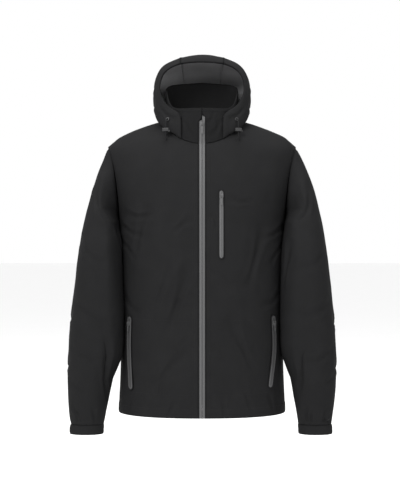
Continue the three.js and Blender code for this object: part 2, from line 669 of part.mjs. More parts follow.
const hoodLeft = sheet('hood_side_left', sideGrid, hoodMiddle);
const hoodRight = sheet('hood_side_right', mirrored(sideGrid), hoodMiddle);
const hoodCentre = sheet('hood_centre', [...centreTop, ...centreTail], hoodMiddle);
const hoodPieces = [hoodLeft, hoodRight, hoodCentre];
shareNormals(hoodPieces);
openSeams(hoodPieces, HOOD_SEAM_GAP);
for (const piece of hoodPieces) add(piece.name, wall(piece, 0, CLOTH), SHELL);

// Inside the hood: a band of shell cloth at the rim, then the lining
function rimRow(grids, r) {
  const [left, right, centre] = grids;
  return [...left[r].slice(HOOD_LINED_FROM), ...centre[r].slice(0, -1).reverse(),
    ...right[r].slice(HOOD_LINED_FROM, -1).reverse()];
}

const hoodGrids = hoodPieces.map((piece) => piece.grid);
const hoodNormals = hoodPieces.map((piece) => piece.normal);
const facing = sheet('hood_facing', [0, 1].map((r) => rimRow(hoodGrids, r)), hoodMiddle);
facing.normal = [0, 1].map((r) => rimRow(hoodNormals, r));
const hoodLinings = [
  cut('hood_lining_left', hoodLeft, [1], [HOOD_LINED_FROM]),
  cut('hood_lining_right', hoodRight, [1], [HOOD_LINED_FROM]),
  cut('hood_lining_centre', hoodCentre, [1, -HOOD_LINED_FROM], [0]),
];
openSeams([facing, ...hoodLinings]);
add('hood_facing', wall(facing, CLOTH + HOOD_LINING_GAP, LINING), SHELL);
for (const piece of hoodLinings) {
  add(piece.name, wall(piece, CLOTH + HOOD_LINING_GAP, LINING), HOOD_LINING);
}

/** The place on a sheet's front that shows at x and z, with the cloth's direction there. */
function onSheet(piece, x, z) {
  let found = null;
  const { grid, shift, normal } = piece;
  for (let r = 0; r < grid.length - 1; r += 1) {
    for (let c = 0; c < grid[0].length - 1; c += 1) {
      const [start, across, opposite, up] = [[r, c], [r, c + 1], [r + 1, c + 1], [r + 1, c]];
      const first = splitsFromFirst(piece, r, c);
      const halves = [
        [start, across, first ? opposite : up],
        [first ? start : across, opposite, up],
      ];
      for (const corners of halves) {
        const [a, b, d] = corners.map(([row, k]) => grid[row][k].clone().add(shift[row][k]));
        const area = (b.x - a.x) * (d.z - a.z) - (d.x - a.x) * (b.z - a.z);
        const toB = ((x - a.x) * (d.z - a.z) - (d.x - a.x) * (z - a.z)) / area;
        const toD = ((b.x - a.x) * (z - a.z) - (x - a.x) * (b.z - a.z)) / area;
        if (toB < 0 || toD < 0 || toB + toD > 1) continue;
        const y = a.y + toB * (b.y - a.y) + toD * (d.y - a.y);
        if (found && found.point.y < y) continue;
        const out = new THREE.Vector3();
        corners.forEach(([row, k], n) => {
          out.addScaledVector(normal[row][k], [1 - toB - toD, toB, toD][n]);
        });
        found = { point: new THREE.Vector3(x, y, z), out: out.normalize() };
      }
    }
  }
  return found;
}

// Front zip: two tapes flush with the fronts and the collar, and the coil behind them
function zipEdge(piece, collarRows, side) {
  const neck = collarRows.map((r) => collar.grid[r][0]);
  const edge = [...piece.grid.map((row) => row[0]), ...neck];
  return edge.map((p) => new THREE.Vector3(side * Math.abs(p.x), p.y, p.z));
}

const zipRows = { left: [1, 2, 3], right: [1, 2] };
for (const [hand, side, piece] of [['left', 1, frontLeft], ['right', -1, frontRight]]) {
  const grid = zipEdge(piece, zipRows[hand], side).map((p) => [
    new THREE.Vector3(side * TAPE_EDGE, p.y, p.z), new THREE.Vector3(side * CENTRE_EDGE, p.y, p.z),
  ]);
  add(`zip_tape_${hand}`, wall(sheet(`zip_tape_${hand}`, grid, torsoMiddle), 0, LINING), TAPE);
}
const coilGrid = zipEdge(frontRight, zipRows.right, 1).map((p) => [
  new THREE.Vector3(-COIL.half, p.y, p.z), new THREE.Vector3(COIL.half, p.y, p.z),
]);
add('zip_coil', wall(sheet('zip_coil', coilGrid, torsoMiddle), COIL.lift, COIL.thick), TAPE);

// Pocket zips: round-ended strips that lie on the fronts
function strip(name, piece, route) {
  const rows = route.map(([x, z]) => ({ z: -z, x }));
  const path = column(rows, 'z', 'x');
  const [top, bottom] = [route[0][1], route[route.length - 1][1]];
  const places = STRIP_ROWS.map((share) => {
    const z = top + (bottom - top) * share;
    const end = Math.min(top - z, z - bottom, ZIP_HALF);
    const half = Math.max(Math.sqrt(ZIP_HALF ** 2 - (ZIP_HALF - end) ** 2), ZIP_HALF / 4);
    return [-half, 0, half].map((off) => onSheet(piece, path(-z) + off, z));
  });
  const grid = places.map((row) => row.map((place) => place.point));
  const band = sheet(name, grid, torsoMiddle);
  band.normal = places.map((row) => row.map((place) => place.out));
  add(name, wall(band, -(STRIP_LIFT + STRIP_THICK), STRIP_THICK), TAPE);
}

strip('chest_zip', frontLeft, CHEST_ZIP);
strip('pocket_zip_left', frontLeft, POCKET_ZIPS.left);
strip('pocket_zip_right', frontRight, POCKET_ZIPS.right);

/** A three.js solid joined to another with no shared faces left inside. */
function joined(...geometries) {
  const solids = geometries.map((geometry) => {
    const bare = geometry.clone();
    bare.deleteAttribute('normal');
    bare.deleteAttribute('uv');
    const merged = mergeVertices(bare);
    return new wasm.Manifold(new wasm.Mesh({
      numProp: 3,
      vertProperties: new Float32Array(merged.attributes.position.array),
      triVerts: new Uint32Array(merged.index.array),
    }));
  });
  const { vertProperties, triVerts } = solids.reduce((whole, solid) => whole.add(solid)).getMesh();
  const geometry = new THREE.BufferGeometry();
  geometry.setAttribute('position', new THREE.BufferAttribute(vertProperties, 3));
  geometry.setIndex(new THREE.BufferAttribute(triVerts, 1));
  return geometry;
}

function roundedOutline(left, right, low, high, radius) {
  const shape = new THREE.Shape();
  shape.moveTo(left + radius, low);
  shape.lineTo(right - radius, low);
  shape.absarc(right - radius, low + radius, radius, -Math.PI / 2, 0, false);
  shape.lineTo(right, high - radius);
  shape.absarc(right - radius, high - radius, radius, 0, Math.PI / 2, false);
  shape.lineTo(left + radius, high);
  shape.absarc(left + radius, high - radius, radius, Math.PI / 2, Math.PI, false);
  shape.lineTo(left, low + radius);
  shape.absarc(left + radius, low + radius, radius, Math.PI, 1.5 * Math.PI, false);
  return shape;
}

/** A zip's slider with its pull tab hanging from the bridge; out is the direction off the cloth. */
function slider(sliderName, tabName, place, lift, length) {
  const group = new THREE.Group();
  group.position.copy(place.point);
  group.rotation.z = Math.atan2(place.out.x, -place.out.y);
  const body = new THREE.ExtrudeGeometry(
    roundedOutline(-SLIDER.wide / 2, SLIDER.wide / 2, -SLIDER.tall / 2, SLIDER.tall / 2, 2),
    { depth: SLIDER.thick, bevelEnabled: false, curveSegments: 3 });
  body.rotateX(Math.PI / 2);
  body.translate(0, -lift, 0);
  const sunk = SLIDER.thick / 2;
  const far = SLIDER.room + SLIDER.bridge;
  const outline = roundedOutline(-sunk, far, -SLIDER.bridgeHalf, SLIDER.bridgeHalf, 0.8);
  const inside = SLIDER.bridgeHalf - SLIDER.bridge;
  outline.holes.push(roundedOutline(0, SLIDER.room, -inside, inside, 0.4));
  const bridge = new THREE.ExtrudeGeometry(outline,
    { depth: SLIDER.bridgeWide, bevelEnabled: false, curveSegments: 2 });
  bridge.translate(0, 0, -SLIDER.bridgeWide / 2);
  bridge.applyMatrix4(new THREE.Matrix4().makeBasis(
    new THREE.Vector3(0, -1, 0), new THREE.Vector3(0, 0, 1), new THREE.Vector3(-1, 0, 0)));
  bridge.translate(0, -(lift + SLIDER.thick), 0);
  add(sliderName, joined(body, bridge), METAL, group);
  const tabShape = roundedOutline(-TAB.half, TAB.half, -length, TAB.bar, 0.7);
  tabShape.holes.push(roundedOutline(-TAB.holeHalf, TAB.holeHalf, -TAB.holeEnd, -TAB.bar, 0.3));
  const tab = new THREE.ExtrudeGeometry(tabShape,
    { depth: TAB.thick, bevelEnabled: false, curveSegments: 2 });
  tab.rotateX(Math.PI / 2);
  tab.translate(0, -(lift + SLIDER.thick + (SLIDER.room - TAB.thick) / 2), 0);
  add(tabName, tab, METAL, group);
  jacket.add(group);
}

function tapePlace(z) {
  const rows = zipEdge(frontLeft, zipRows.left, 1).map((p) => ({ z: p.z, y: p.y }));
  return { point: new THREE.Vector3(0, column(rows, 'z', 'y')(z), z), out: new THREE.Vector3(0, -1, 0) };
}

const onStrip = STRIP_LIFT + STRIP_THICK + SLIDER.lift;
slider('zip_slider', 'zip_pull', tapePlace(PULLS.zip.z), SLIDER.lift, PULLS.zip.length);
for (const [name, sheetUnder, { x, z, length }, lift] of [
  ['chest', frontLeft, PULLS.chest, onStrip + CHEST_SLOPE],
  ['pocket_left', frontLeft, PULLS.pocketLeft, onStrip],
  ['pocket_right', frontRight, PULLS.pocketRight, onStrip],
]) {
  const [part, ...hand] = name.split('_');
  const node = (kind) => [part, kind, ...hand].join('_');
  slider(node('slider'), node('pull'), onSheet(sheetUnder, x, z), lift, length);
}

/** The end of the hood's drawcord on one side: an eyelet, the cord, a lock on it and its knot. */
function drawcord(hand, piece, side) {
  const place = onSheet(piece, side * EYELET.x, EYELET.z);
  const eyelet = new THREE.LatheGeometry([
    new THREE.Vector2(EYELET.inner, 0), new THREE.Vector2(EYELET.outer, 0),
    new THREE.Vector2(EYELET.outer, EYELET.thick), new THREE.Vector2(EYELET.inner, EYELET.thick),
    new THREE.Vector2(EYELET.inner, 0),
  ], 16);
  const upright = new THREE.Vector3(0, 1, 0);
  eyelet.applyQuaternion(new THREE.Quaternion().setFromUnitVectors(upright, place.out));
  const seat = place.point.clone().addScaledVector(place.out, EYELET.lift);
  eyelet.translate(seat.x, seat.y, seat.z);
  add(`eyelet_${hand}`, eyelet, PLASTIC);

  const group = new THREE.Group();
  group.position.copy(place.point);
  group.rotation.z = Math.atan2(place.out.x, -place.out.y);
  const routePoints = CORD_ROUTE.map(({ out, down }) => new THREE.Vector3(0, -out, -down));
  const route = new THREE.CatmullRomCurve3(routePoints);
  const section = new THREE.Shape(Array.from({ length: CORD.sides }, (_, k) => {
    const turn = (2 * Math.PI * k) / CORD.sides;
    return new THREE.Vector2(Math.cos(turn), Math.sin(turn)).multiplyScalar(CORD.diameter / 2);
  }));
  add(`hood_cord_${hand}`, new THREE.ExtrudeGeometry(section, { steps: CORD.steps, extrudePath: route }),
    CORD_FINISH, group);
  const end = CORD_ROUTE[CORD_ROUTE.length - 1];
  const knot = new THREE.SphereGeometry(CORD.knot, 10, 7);
  knot.translate(0, -end.out, -(end.down + CORD.knot + SEAM_GAP));
  add(`cord_knot_${hand}`, knot, CORD_FINISH, group);
  const outline = roundedOutline(-LOCK.wide / 2, LOCK.wide / 2, -LOCK.deep / 2, LOCK.deep / 2, LOCK.corner);
  const hole = new THREE.Path();
  hole.absarc(0, 0, LOCK.hole, 0, 2 * Math.PI, false);
  outline.holes.push(hole);
  const lock = new THREE.ExtrudeGeometry(outline,
    { depth: LOCK.tall, bevelEnabled: false, curveSegments: 8 });
  lock.translate(0, -end.out, -(LOCK.down + LOCK.tall / 2));
  add(`cord_lock_${hand}`, lock, PLASTIC, group);
  jacket.add(group);
}

drawcord('left', hoodLeft, 1);
drawcord('right', hoodRight, -1);

export default jacket;
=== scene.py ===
"""Cloth, sewing, zips, drawcord ends and studio for a men's softshell jacket with its hood up.

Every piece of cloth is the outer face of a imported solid, made smooth, creased and given its own thickness.
Units are metres, +Z up. The front faces -Y, and the wearer's left is +X.
"""
import math

import bmesh
import bpy
import numpy as np
from mathutils import Matrix, Vector, noise
from mathutils.bvhtree import BVHTree
from mathutils.kdtree import KDTree


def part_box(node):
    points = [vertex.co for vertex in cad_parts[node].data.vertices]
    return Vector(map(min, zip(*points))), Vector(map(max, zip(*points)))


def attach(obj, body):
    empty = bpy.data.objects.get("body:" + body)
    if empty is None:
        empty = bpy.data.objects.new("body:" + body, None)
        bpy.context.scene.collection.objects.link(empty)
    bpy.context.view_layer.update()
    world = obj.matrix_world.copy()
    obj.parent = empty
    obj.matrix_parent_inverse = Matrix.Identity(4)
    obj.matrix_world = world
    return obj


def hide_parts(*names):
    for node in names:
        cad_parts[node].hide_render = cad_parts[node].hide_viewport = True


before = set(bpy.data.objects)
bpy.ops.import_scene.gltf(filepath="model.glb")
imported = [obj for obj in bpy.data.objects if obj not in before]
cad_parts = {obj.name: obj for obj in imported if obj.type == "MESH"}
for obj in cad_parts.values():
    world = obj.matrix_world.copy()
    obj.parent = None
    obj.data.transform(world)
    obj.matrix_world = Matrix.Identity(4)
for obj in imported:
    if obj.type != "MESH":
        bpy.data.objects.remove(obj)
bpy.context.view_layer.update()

bl_info = {
    "name": "Softshell Jacket",
    "version": (1, 0, 0),
    "blender": (4, 5, 0),
    "location": "View3D > Sidebar > Jacket",
    "description": "Cloth, seams, zips and cords of a hooded softshell jacket, built on its solids",
    "category": "Object",
}

MM = 0.001
BODY = "jacket"
CLOTH_END = "_cloth"
HANDS = (("left", 1), ("right", -1))

# Walls of the solids, how exactly they are met, and how fine a sheet becomes
SHELL_WALL = 1.6 * MM
LINING_WALL = 1.2 * MM
STRIP_WALL = 1.3 * MM
COIL_WALL = 1.8 * MM
MERGE = 0.02 * MM
WALL_SLACK = 0.03 * MM
SHELL_LEVELS = 3
LINING_LEVELS = 2
QUAD_FACE_TURN = math.radians(60)
QUAD_SHAPE_TURN = math.radians(80)
CORNER_TURN = math.radians(35)
ROUND_END_TURN = math.radians(70)
FINE_TURN = math.radians(25)

# How the cloth lies: its slack, creases and bands, the sleeves on the body, the crown, and the lining.
# The levels where a sleeve starts and ends to lean are in millimetres.
SWELL, SWELL_RATE = 1.1, 16
DENT, DENT_RATE, DENT_RISE_RATE = 0.42, 46, 30
PUCKER, PUCKER_RATE = 0.75, 115
EDGE_STEPS = 8
CREASE_STEPS = 16
SWAY = 1.2 * MM
SWAY_RATE, SWAY_SEED = 40, 90
EDGE_FADE = 11 * MM
PUCKER_REACH = 9 * MM
CREASE_FADE = 7 * MM
CREASE_SPREAD = 1.5
BAND_STEP = 2.4 * MM
BAND_EDGE = 3 * MM
LEAN = 14 * MM
LEAN_GAP = 0.7 * MM
FACING_FROM, FACING_FADE = 0.05, 0.4
LEAN_TOP, LEAN_TOP_FADE = -226, 30
LEAN_END, LEAN_END_FADE = -640, 60
CROWN_PUFF = 4.2 * MM
CROWN_HALF = 54 * MM
PUFF_FADE = 13 * MM
TUCK_REACH = 8 * MM
TUCK_GAP = 0.5 * MM
# Painted shade: the collar is the shell's cloth, with its colour darkened by this share to stand for the
# shade that falls on it under the hood
COLLAR_PAINTED_SHADE = 0.76

# Edges behind seams, folds and lips, as tubes
SEAM_SINK = 0.2 * MM
SEAM_RADIUS = 1.2 * MM
CUFF_SEAM_RADIUS = 2.2 * MM
FOLD_REACH = 0.6 * MM
FOLD_RADIUS = 1.15 * MM
LIP_RADIUS = 0.95 * MM
LIP_SINK = 0.3 * MM
LIP_REACH = 0.5 * MM
TUBE_SIDES = 8

# Thread
BEAD_SIDES = 5
BEAD_SHARE = 0.38
BEAD_RISE = 0.35
BEAD_REACH = 0.72
BEAD_WIDTH = 0.8
BEAD_TIP = 0.5
STITCH_GRIP = 8 * MM

# Zips
TAPE_TUCK = 1.9 * MM
TAPE_TUCK_LENGTH = 6 * MM
TAPE_SWELL = 0.75 * MM
TAPE_SWELL_HALF = 3.4 * MM
TAPE_PARTING = 0.5 * MM
TOOTH_REACH = 0.8 * MM
TOOTH_WIDE = 3.4 * MM
TOOTH_ROUND = 0.28 * MM
STRIP_HALF = 5.4 * MM
STRIP_SINK = 0.7 * MM
STRIP_SWELL = 0.6 * MM
STRIP_FLAT = 2 * MM
FLAT_TURN = math.radians(2)
ROUND_TURN = math.radians(40)
SHARP_TURN = math.radians(50)
SLIDER_ROUND = 0.35
PULL_ROUND = 0.28

# Where a ray starts and which way it looks, to put a flat drawing on the cloth from one side.
# A drawing's two coordinates are (x, z) from the front and back, and (y, z) from the sides.
VIEWS = {
    "front": lambda across, up: ((across, -1, up), (0, 1, 0)),
    "back": lambda across, up: ((across, 1, up), (0, -1, 0)),
    "left": lambda across, up: ((1, across, up), (-1, 0, 0)),
    "right": lambda across, up: ((-1, across, up), (1, 0, 0)),
}

# Creases of each piece under the view that they are drawn in, in millimetres: half width, depth,
# height of the rolls beside them, and the two coordinates of each of their three points
CREASES = {
    "front_right": {
        "front": [
            (9, 2.6, 1.0, -128, -212, -150, -270, -163, -335),
            (10, 2.8, 1.2, -25, -350, -52, -435, -84, -530),
            (8, 1.9, 0.8, -62, -330, -92, -410, -125, -500),
            (8, 2.2, 0.9, -36, -570, -76, -602, -112, -652),
            (7, 2.4, 1.0, -203, -262, -172, -284, -138, -292),
            (7, 2.0, 0.8, -203, -300, -180, -322, -160, -352),
            (8, 1.8, 0.8, -196, -236, -158, -246, -112, -240),
            (7, 1.6, 0.8, -22, -250, -44, -262, -70, -284), (6, 1.5, 0.6, -22, -430, -42, -440, -66, -456),
            (6, 1.4, 0.6, -30, -538, -46, -546, -62, -560),
            (7, 1.6, 0.7, -84, -622, -98, -652, -104, -690),
            (6, 1.8, 0.7, -60, -684, -72, -704, -82, -727),
            (6, 1.6, 0.7, -118, -676, -128, -700, -134, -727),
            (6, 1.6, 0.6, -172, -684, -178, -706, -180, -727),
            (8, 1.8, 0.7, -196, -430, -176, -462, -150, -480),
        ],
    },
    "front_left": {
        "front": [
            (9, 2.3, 1.0, 152, -258, 134, -330, 110, -420), (9, 2.1, 0.9, 62, -480, 92, -548, 130, -622),
            (7, 2.4, 1.0, 203, -264, 176, -286, 146, -300), (7, 1.9, 0.8, 203, -306, 182, -330, 166, -362),
            (7, 1.6, 0.7, 20, -378, 46, -388, 78, -412), (6, 1.5, 0.6, 20, -560, 42, -570, 64, -590),
            (6, 1.3, 0.6, 22, -236, 32, -250, 36, -276), (7, 1.6, 0.7, 90, -640, 108, -676, 122, -720),
            (6, 1.5, 0.6, 160, -672, 170, -698, 174, -727), (6, 1.5, 0.6, 44, -672, 52, -696, 56, -727),
            (8, 1.7, 0.7, 196, -424, 172, -452, 140, -462), (7, 1.4, 0.6, 62, -196, 90, -210, 124, -208),
        ],
    },
    "back": {
        "back": [
            (10, 3.0, 1.2, -165, -230, -116, -318, -60, -400),
            (10, 2.8, 1.1, 160, -245, 122, -330, 75, -430), (9, 2.5, 1.0, -120, -420, -46, -442, 30, -480),
            (9, 2.5, 1.0, 130, -520, 62, -544, -10, -585),
            (8, 2.2, 0.9, -204, -262, -166, -286, -120, -300),
            (8, 2.2, 0.9, 204, -262, 172, -290, 134, -310),
            (8, 1.9, 0.8, -196, -350, -150, -372, -104, -376),
            (8, 1.9, 0.8, 198, -366, 156, -392, 112, -396), (8, 1.6, 0.7, -126, -128, -60, -150, 6, -146),
            (7, 1.5, 0.6, 30, -188, 82, -192, 128, -170), (8, 1.8, 0.7, -176, -540, -120, -590, -70, -610),
            (7, 1.8, 0.7, 96, -610, 118, -664, 124, -727), (7, 1.7, 0.7, -60, -640, -72, -684, -70, -727),
            (7, 1.6, 0.7, -150, -660, -160, -694, -160, -727), (7, 1.6, 0.7, 20, -660, 30, -696, 30, -727),
        ],
    },
    "sleeve_right": {
        "front": [
            (8, 3.6, 1.6, -226, -258, -212, -330, -205, -400),
            (8, 3.2, 1.4, -250, -536, -238, -620, -231, -690),
            (9, 3.0, 1.4, -316, -446, -280, -478, -240, -508),
            (8, 2.4, 1.0, -262, -150, -258, -210, -240, -262),
            (7, 2.2, 1.0, -300, -300, -270, -340, -244, -360),
            (7, 2.4, 1.0, -318, -560, -290, -584, -256, -596),
            (6, 2.2, 1.0, -322, -640, -304, -664, -280, -676),
            (5, 2.4, 1.1, -316, -700, -306, -722, -300, -750),
            (4, 2.0, 0.9, -304, -716, -297, -734, -292, -751),
            (5, 1.8, 0.8, -264, -706, -262, -728, -258, -751),
        ],
        "back": [
            (9, 3.2, 1.4, -318, -430, -280, -470, -228, -486),
            (8, 2.8, 1.2, -322, -520, -284, -548, -236, -550),
            (8, 2.6, 1.1, -262, -170, -262, -236, -236, -300),
            (7, 2.2, 1.0, -318, -610, -288, -634, -250, -640),
            (6, 2.0, 0.9, -306, -690, -298, -720, -292, -750),
        ],
        "right": [
            (7, 2.2, 1.0, -84, -470, -44, -500, 4, -492), (7, 2.0, 0.9, -80, -590, -40, -616, 0, -600),
        ],
    },
    "sleeve_left": {
        "front": [
            (8, 2.6, 1.2, 230, -296, 219, -360, 211, -424), (8, 3.2, 1.4, 258, -560, 246, -610, 234, -668),
            (9, 3.0, 1.4, 316, -450, 282, -474, 244, -488), (8, 2.8, 1.2, 324, -562, 288, -588, 248, -606),
            (8, 2.3, 1.0, 264, -156, 262, -216, 240, -270), (7, 2.0, 0.9, 304, -320, 276, -356, 248, -368),
            (6, 2.2, 1.0, 324, -634, 300, -650, 274, -652), (5, 2.6, 1.2, 324, -738, 308, -744, 292, -738),
            (5, 2.4, 1.1, 250, -700, 253, -724, 257, -751), (4, 2.0, 0.9, 262, -716, 266, -734, 268, -751),
            (5, 1.8, 0.8, 306, -704, 300, -724, 296, -751),
        ],
        "back": [
            (9, 3.0, 1.3, 320, -444, 282, -476, 232, -490), (8, 2.8, 1.2, 324, -536, 284, -560, 238, -562),
            (8, 2.5, 1.1, 264, -176, 262, -240, 238, -304), (7, 2.2, 1.0, 318, -620, 286, -646, 250, -650),
            (6, 2.0, 0.9, 300, -690, 294, -720, 290, -750),
        ],
        "left": [
            (7, 2.2, 1.0, -80, -486, -40, -512, 6, -500), (7, 2.0, 0.9, -78, -600, -36, -622, 2, -612),
        ],
    },
    "hood_side_left": {
        "left": [
            (8, 1.8, 0.9, -40, 40, 4, 22, 44, 36), (7, 1.6, 0.8, -20, 96, 24, 78, 66, 84),
            (6, 1.7, 0.8, 8, 4, 40, 22, 70, 40),
        ],
        "back": [
            (6, 1.5, 0.7, 98, 10, 84, 40, 64, 62),
        ],
        "front": [
            (5, 1.8, 0.8, 66, -10, 86, 4, 104, 24),
        ],
    },
    "hood_side_right": {
        "right": [
            (8, 1.8, 0.9, -38, 46, 0, 26, 40, 30), (7, 1.5, 0.8, -16, 88, 30, 74, 70, 92),
            (6, 1.7, 0.8, 2, 6, 36, 18, 66, 46),
        ],
        "back": [
            (6, 1.5, 0.7, -100, 14, -82, 36, -66, 66),
        ],
        "front": [
            (5, 1.8, 0.8, -64, -12, -88, 6, -106, 28),
        ],
    },
    "hood_centre": {
        "back": [
            (8, 1.6, 0.8, -40, 110, 0, 96, 40, 106), (7, 1.6, 0.8, -36, 44, 0, 32, 36, 40),
        ],
    },
    "collar": {
        "front": [
            (6, 1.3, 0.6, 22, -52, 38, -30, 44, -6), (6, 1.3, 0.6, -20, -56, -34, -34, -42, -8),
            (5, 1.0, 0.5, 14, -20, 24, -6, 26, 12),
        ],
    },
}

# Edges of the pieces on the wearer's left, in millimetres: a place on each, how far in its stitches
# run, and the width and lift of the band of cloth along it
SEAMS = {
    "front_hem": ((100, -120, -728), 22, (22, 0.9)),
    "zip": ((8.4, -138, -400), 9.5, (11, 0.5)),
    "neck": ((60, -40, -40), 3, None),
    "shoulder": ((160, 0, -24), 3, None),
    "armhole": ((215, -40, -160), 3.2, (5, -1.6)),
    "side": ((204, 10, -500), None, None),
    "back_hem": ((0, 138, -728), 22, (22, 0.9)),
    "back_neck": ((0, 76, -5), 3, None),
    "back_armhole": ((215, 60, -160), 3.2, (5, -1.6)),
    "wrist": ((280, -82, -752), 2.6, None),
    "cuff_top": ((280, -80, -752), 3, None),
    "cuff_end": ((280, -80, -776), 4, (9, 0.5)),
    "collar_top": ((40, -70, 21), 6, (7, 0.5)),
    "collar_zip": ((8.4, -88, -40), None, None),
    "hood_rim": ((107, -43, 74), 12, (12, 0.7)),
    "hood_seam": ((54, 38, 155), 3, None),
    "crown_rim": ((0, -20, 143), 12, (12, 0.7)),
}
ZIP_SECOND_ROW = 14

# The seams that show where the hand pocket's bag is sewn to the front, as (x, z) points
POCKET_LINES = [
    [(22, -497), (95, -494), (167, -492)],
    [(22, -672), (95, -673), (160, -670)],
]

# The hood cord's centre line from its eyelet: how far out from the cloth and how far down, in mm
CORD_ROUTE = [
    (0.8, 0), (2.2, 0), (3.6, 0.1), (5, 0.45), (6.4, 1.1), (7.6, 2), (8.6, 3.2), (9.4, 4.7),
    (9.95, 6.4), (10.3, 8.4), (10.45, 11), (10.5, 16), (10.5, 22), (10.5, 29), (10.5, 37), (10.5, 45),
]
CORD_EXIT = (84, -74.03, -6)
CORD_YAW = 0.4404
CORD_WIDE = 2.6
CORD_SIDES = 12

# The knot's winding, and the lock's press button: across, width, depth and height of its two blocks
KNOT_STEPS = 60
KNOT_RADIUS = 0.95 * MM
KNOT_DROP = 2.75
KNOT_SIZE = (0.62, 0.52, 0.85)
BUTTON_ROUND = 0.45 * MM
BUTTON_BLOCKS = ((9.4, 2.4, 4.6, 5.4), (10.9, 0.9, 3.9, 4.7))
BUTTON_OUT = 10.5
BUTTON_DOWN = 30
BLOCK_FACES = ((0, 1, 3, 2), (4, 6, 7, 5), (0, 4, 5, 1), (2, 3, 7, 6), (0, 2, 6, 4), (1, 5, 7, 3))


# Mesh of a cloth piece


def islands(bm):
    """The connected groups of faces of a mesh."""
    left = set(bm.faces)
    groups = []
    for first in bm.faces:
        if first not in left:
            continue
        left.discard(first)
        stack = [first]
        group = []
        while stack:
            face = stack.pop()
            group.append(face)
            for other in (other for edge in face.edges for other in edge.link_faces):
                if other in left:
                    left.discard(other)
                    stack.append(other)
        groups.append(group)
    return groups


def outwardness(group):
    """How much a group of faces looks away from its own middle."""
    middle = sum((face.calc_center_median() for face in group), Vector()) / len(group)
    return sum((face.calc_center_median() - middle).dot(face.normal) * face.calc_area() for face in group)


def frontness(group):
    return -sum(face.calc_center_median().y for face in group) / len(group)


def outer_face(node, wall, rank=outwardness):
    """The outer face of a solid cloth wall, in quads. Only edges through the wall are as short as it."""
    bm = bmesh.new()
    bm.from_mesh(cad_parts[node].data)
    bmesh.ops.remove_doubles(bm, verts=bm.verts, dist=MERGE)
    through = [edge for edge in bm.edges if abs(edge.calc_length() - wall) < WALL_SLACK]
    rim = {face for edge in through for face in edge.link_faces}
    bmesh.ops.delete(bm, geom=[face for face in bm.faces if face in rim], context="FACES")
    groups = islands(bm)
    if len(groups) < 2:
        raise RuntimeError(f"{node} isn't a wall of {wall} m")
    keep = set(max(groups, key=rank))
    bmesh.ops.delete(bm, geom=[face for face in bm.faces if face not in keep], context="FACES")
    bmesh.ops.join_triangles(bm, faces=bm.faces, angle_face_threshold=QUAD_FACE_TURN,
                             angle_shape_threshold=QUAD_SHAPE_TURN)
    return bm


def boundary_loops(bm):
    """The mesh's open edges as lists of vertices in order."""
    edges = {edge for edge in bm.edges if edge.is_boundary}
    loops = []
    for edge in bm.edges:
        if edge not in edges:
            continue
        edges.discard(edge)
        first, here = edge.verts
        loop = [first, here]
        while True:
            step = next((other for other in here.link_edges if other in edges), None)
            if step is None:
                break
            edges.discard(step)
            here = step.other_vert(here)
            loop.append(here)
        loops.append(loop[:-1] if loop[-1] is first else loop)
    return loops


def turns(loop):
    """The angle that a closed line of vertices turns by at each of them."""
    angles = []
    for k, vertex in enumerate(loop):
        back = vertex.co - loop[k - 1].co
        on = loop[(k + 1) % len(loop)].co - vertex.co
        angles.append(back.angle(on, 0.0))
    return angles


def new_object(name, mesh):
    obj = bpy.data.objects.new(name, mesh)
    bpy.context.scene.collection.objects.link(obj)
    return obj


def object_from(name, bm, smooth=True):
    """A new object from a mesh that was being edited."""
    mesh = bpy.data.meshes.new(name)
    bm.to_mesh(mesh)
    bm.free()
    if smooth:
        mesh.shade_smooth()
    return new_object(name, mesh)


def applied(obj):
    """Replaces an object's mesh by what its modifiers make of it."""
    graph = bpy.context.evaluated_depsgraph_get()
    mesh = bpy.data.meshes.new_from_object(obj.evaluated_get(graph))
    obj.modifiers.clear()
    old = obj.data
    obj.data = mesh
    bpy.data.meshes.remove(old)
    return obj


def smooth_sheet(name, bm, levels, corner=CORNER_TURN):
    """A fine smooth sheet through a coarse one, which keeps the corners of its edge."""
    crease = bm.verts.layers.float.get("crease_vert") or bm.verts.layers.float.new("crease_vert")
    for loop in boundary_loops(bm):
        for vertex, angle in zip(loop, turns(loop)):
            vertex[crease] = 1.0 if angle > corner else 0.0
    obj = object_from(name, bm)
    subdivision = obj.modifiers.new("smooth", "SUBSURF")
    subdivision.levels = levels
    subdivision.render_levels = levels
    subdivision.boundary_smooth = "PRESERVE_CORNERS"
    applied(obj)
    obj.data.shade_smooth()
    return obj


def vectors(values, field):
    flat = np.empty(len(values) * 3)
    values.foreach_get(field, flat)
    return flat.reshape(-1, 3)


def coordinates(mesh):
    return vectors(mesh.vertices, "co")


def normals(mesh):
    return vectors(mesh.vertex_normals, "vector")


def set_coordinates(mesh, points):
    mesh.vertices.foreach_set("co", np.asarray(points).reshape(-1))
    mesh.update()


class Edge:
    """One run of a sheet's edge between two corners: its points, normals and inward directions."""

    def __init__(self, points, outs, inwards, closed):
        self.points = np.array(points)
        self.outs = np.array(outs)
        self.inwards = np.array(inwards)
        self.closed = closed

    def distance_to(self, place):
        return float(np.linalg.norm(self.points - np.array(place) * MM, axis=1).min())


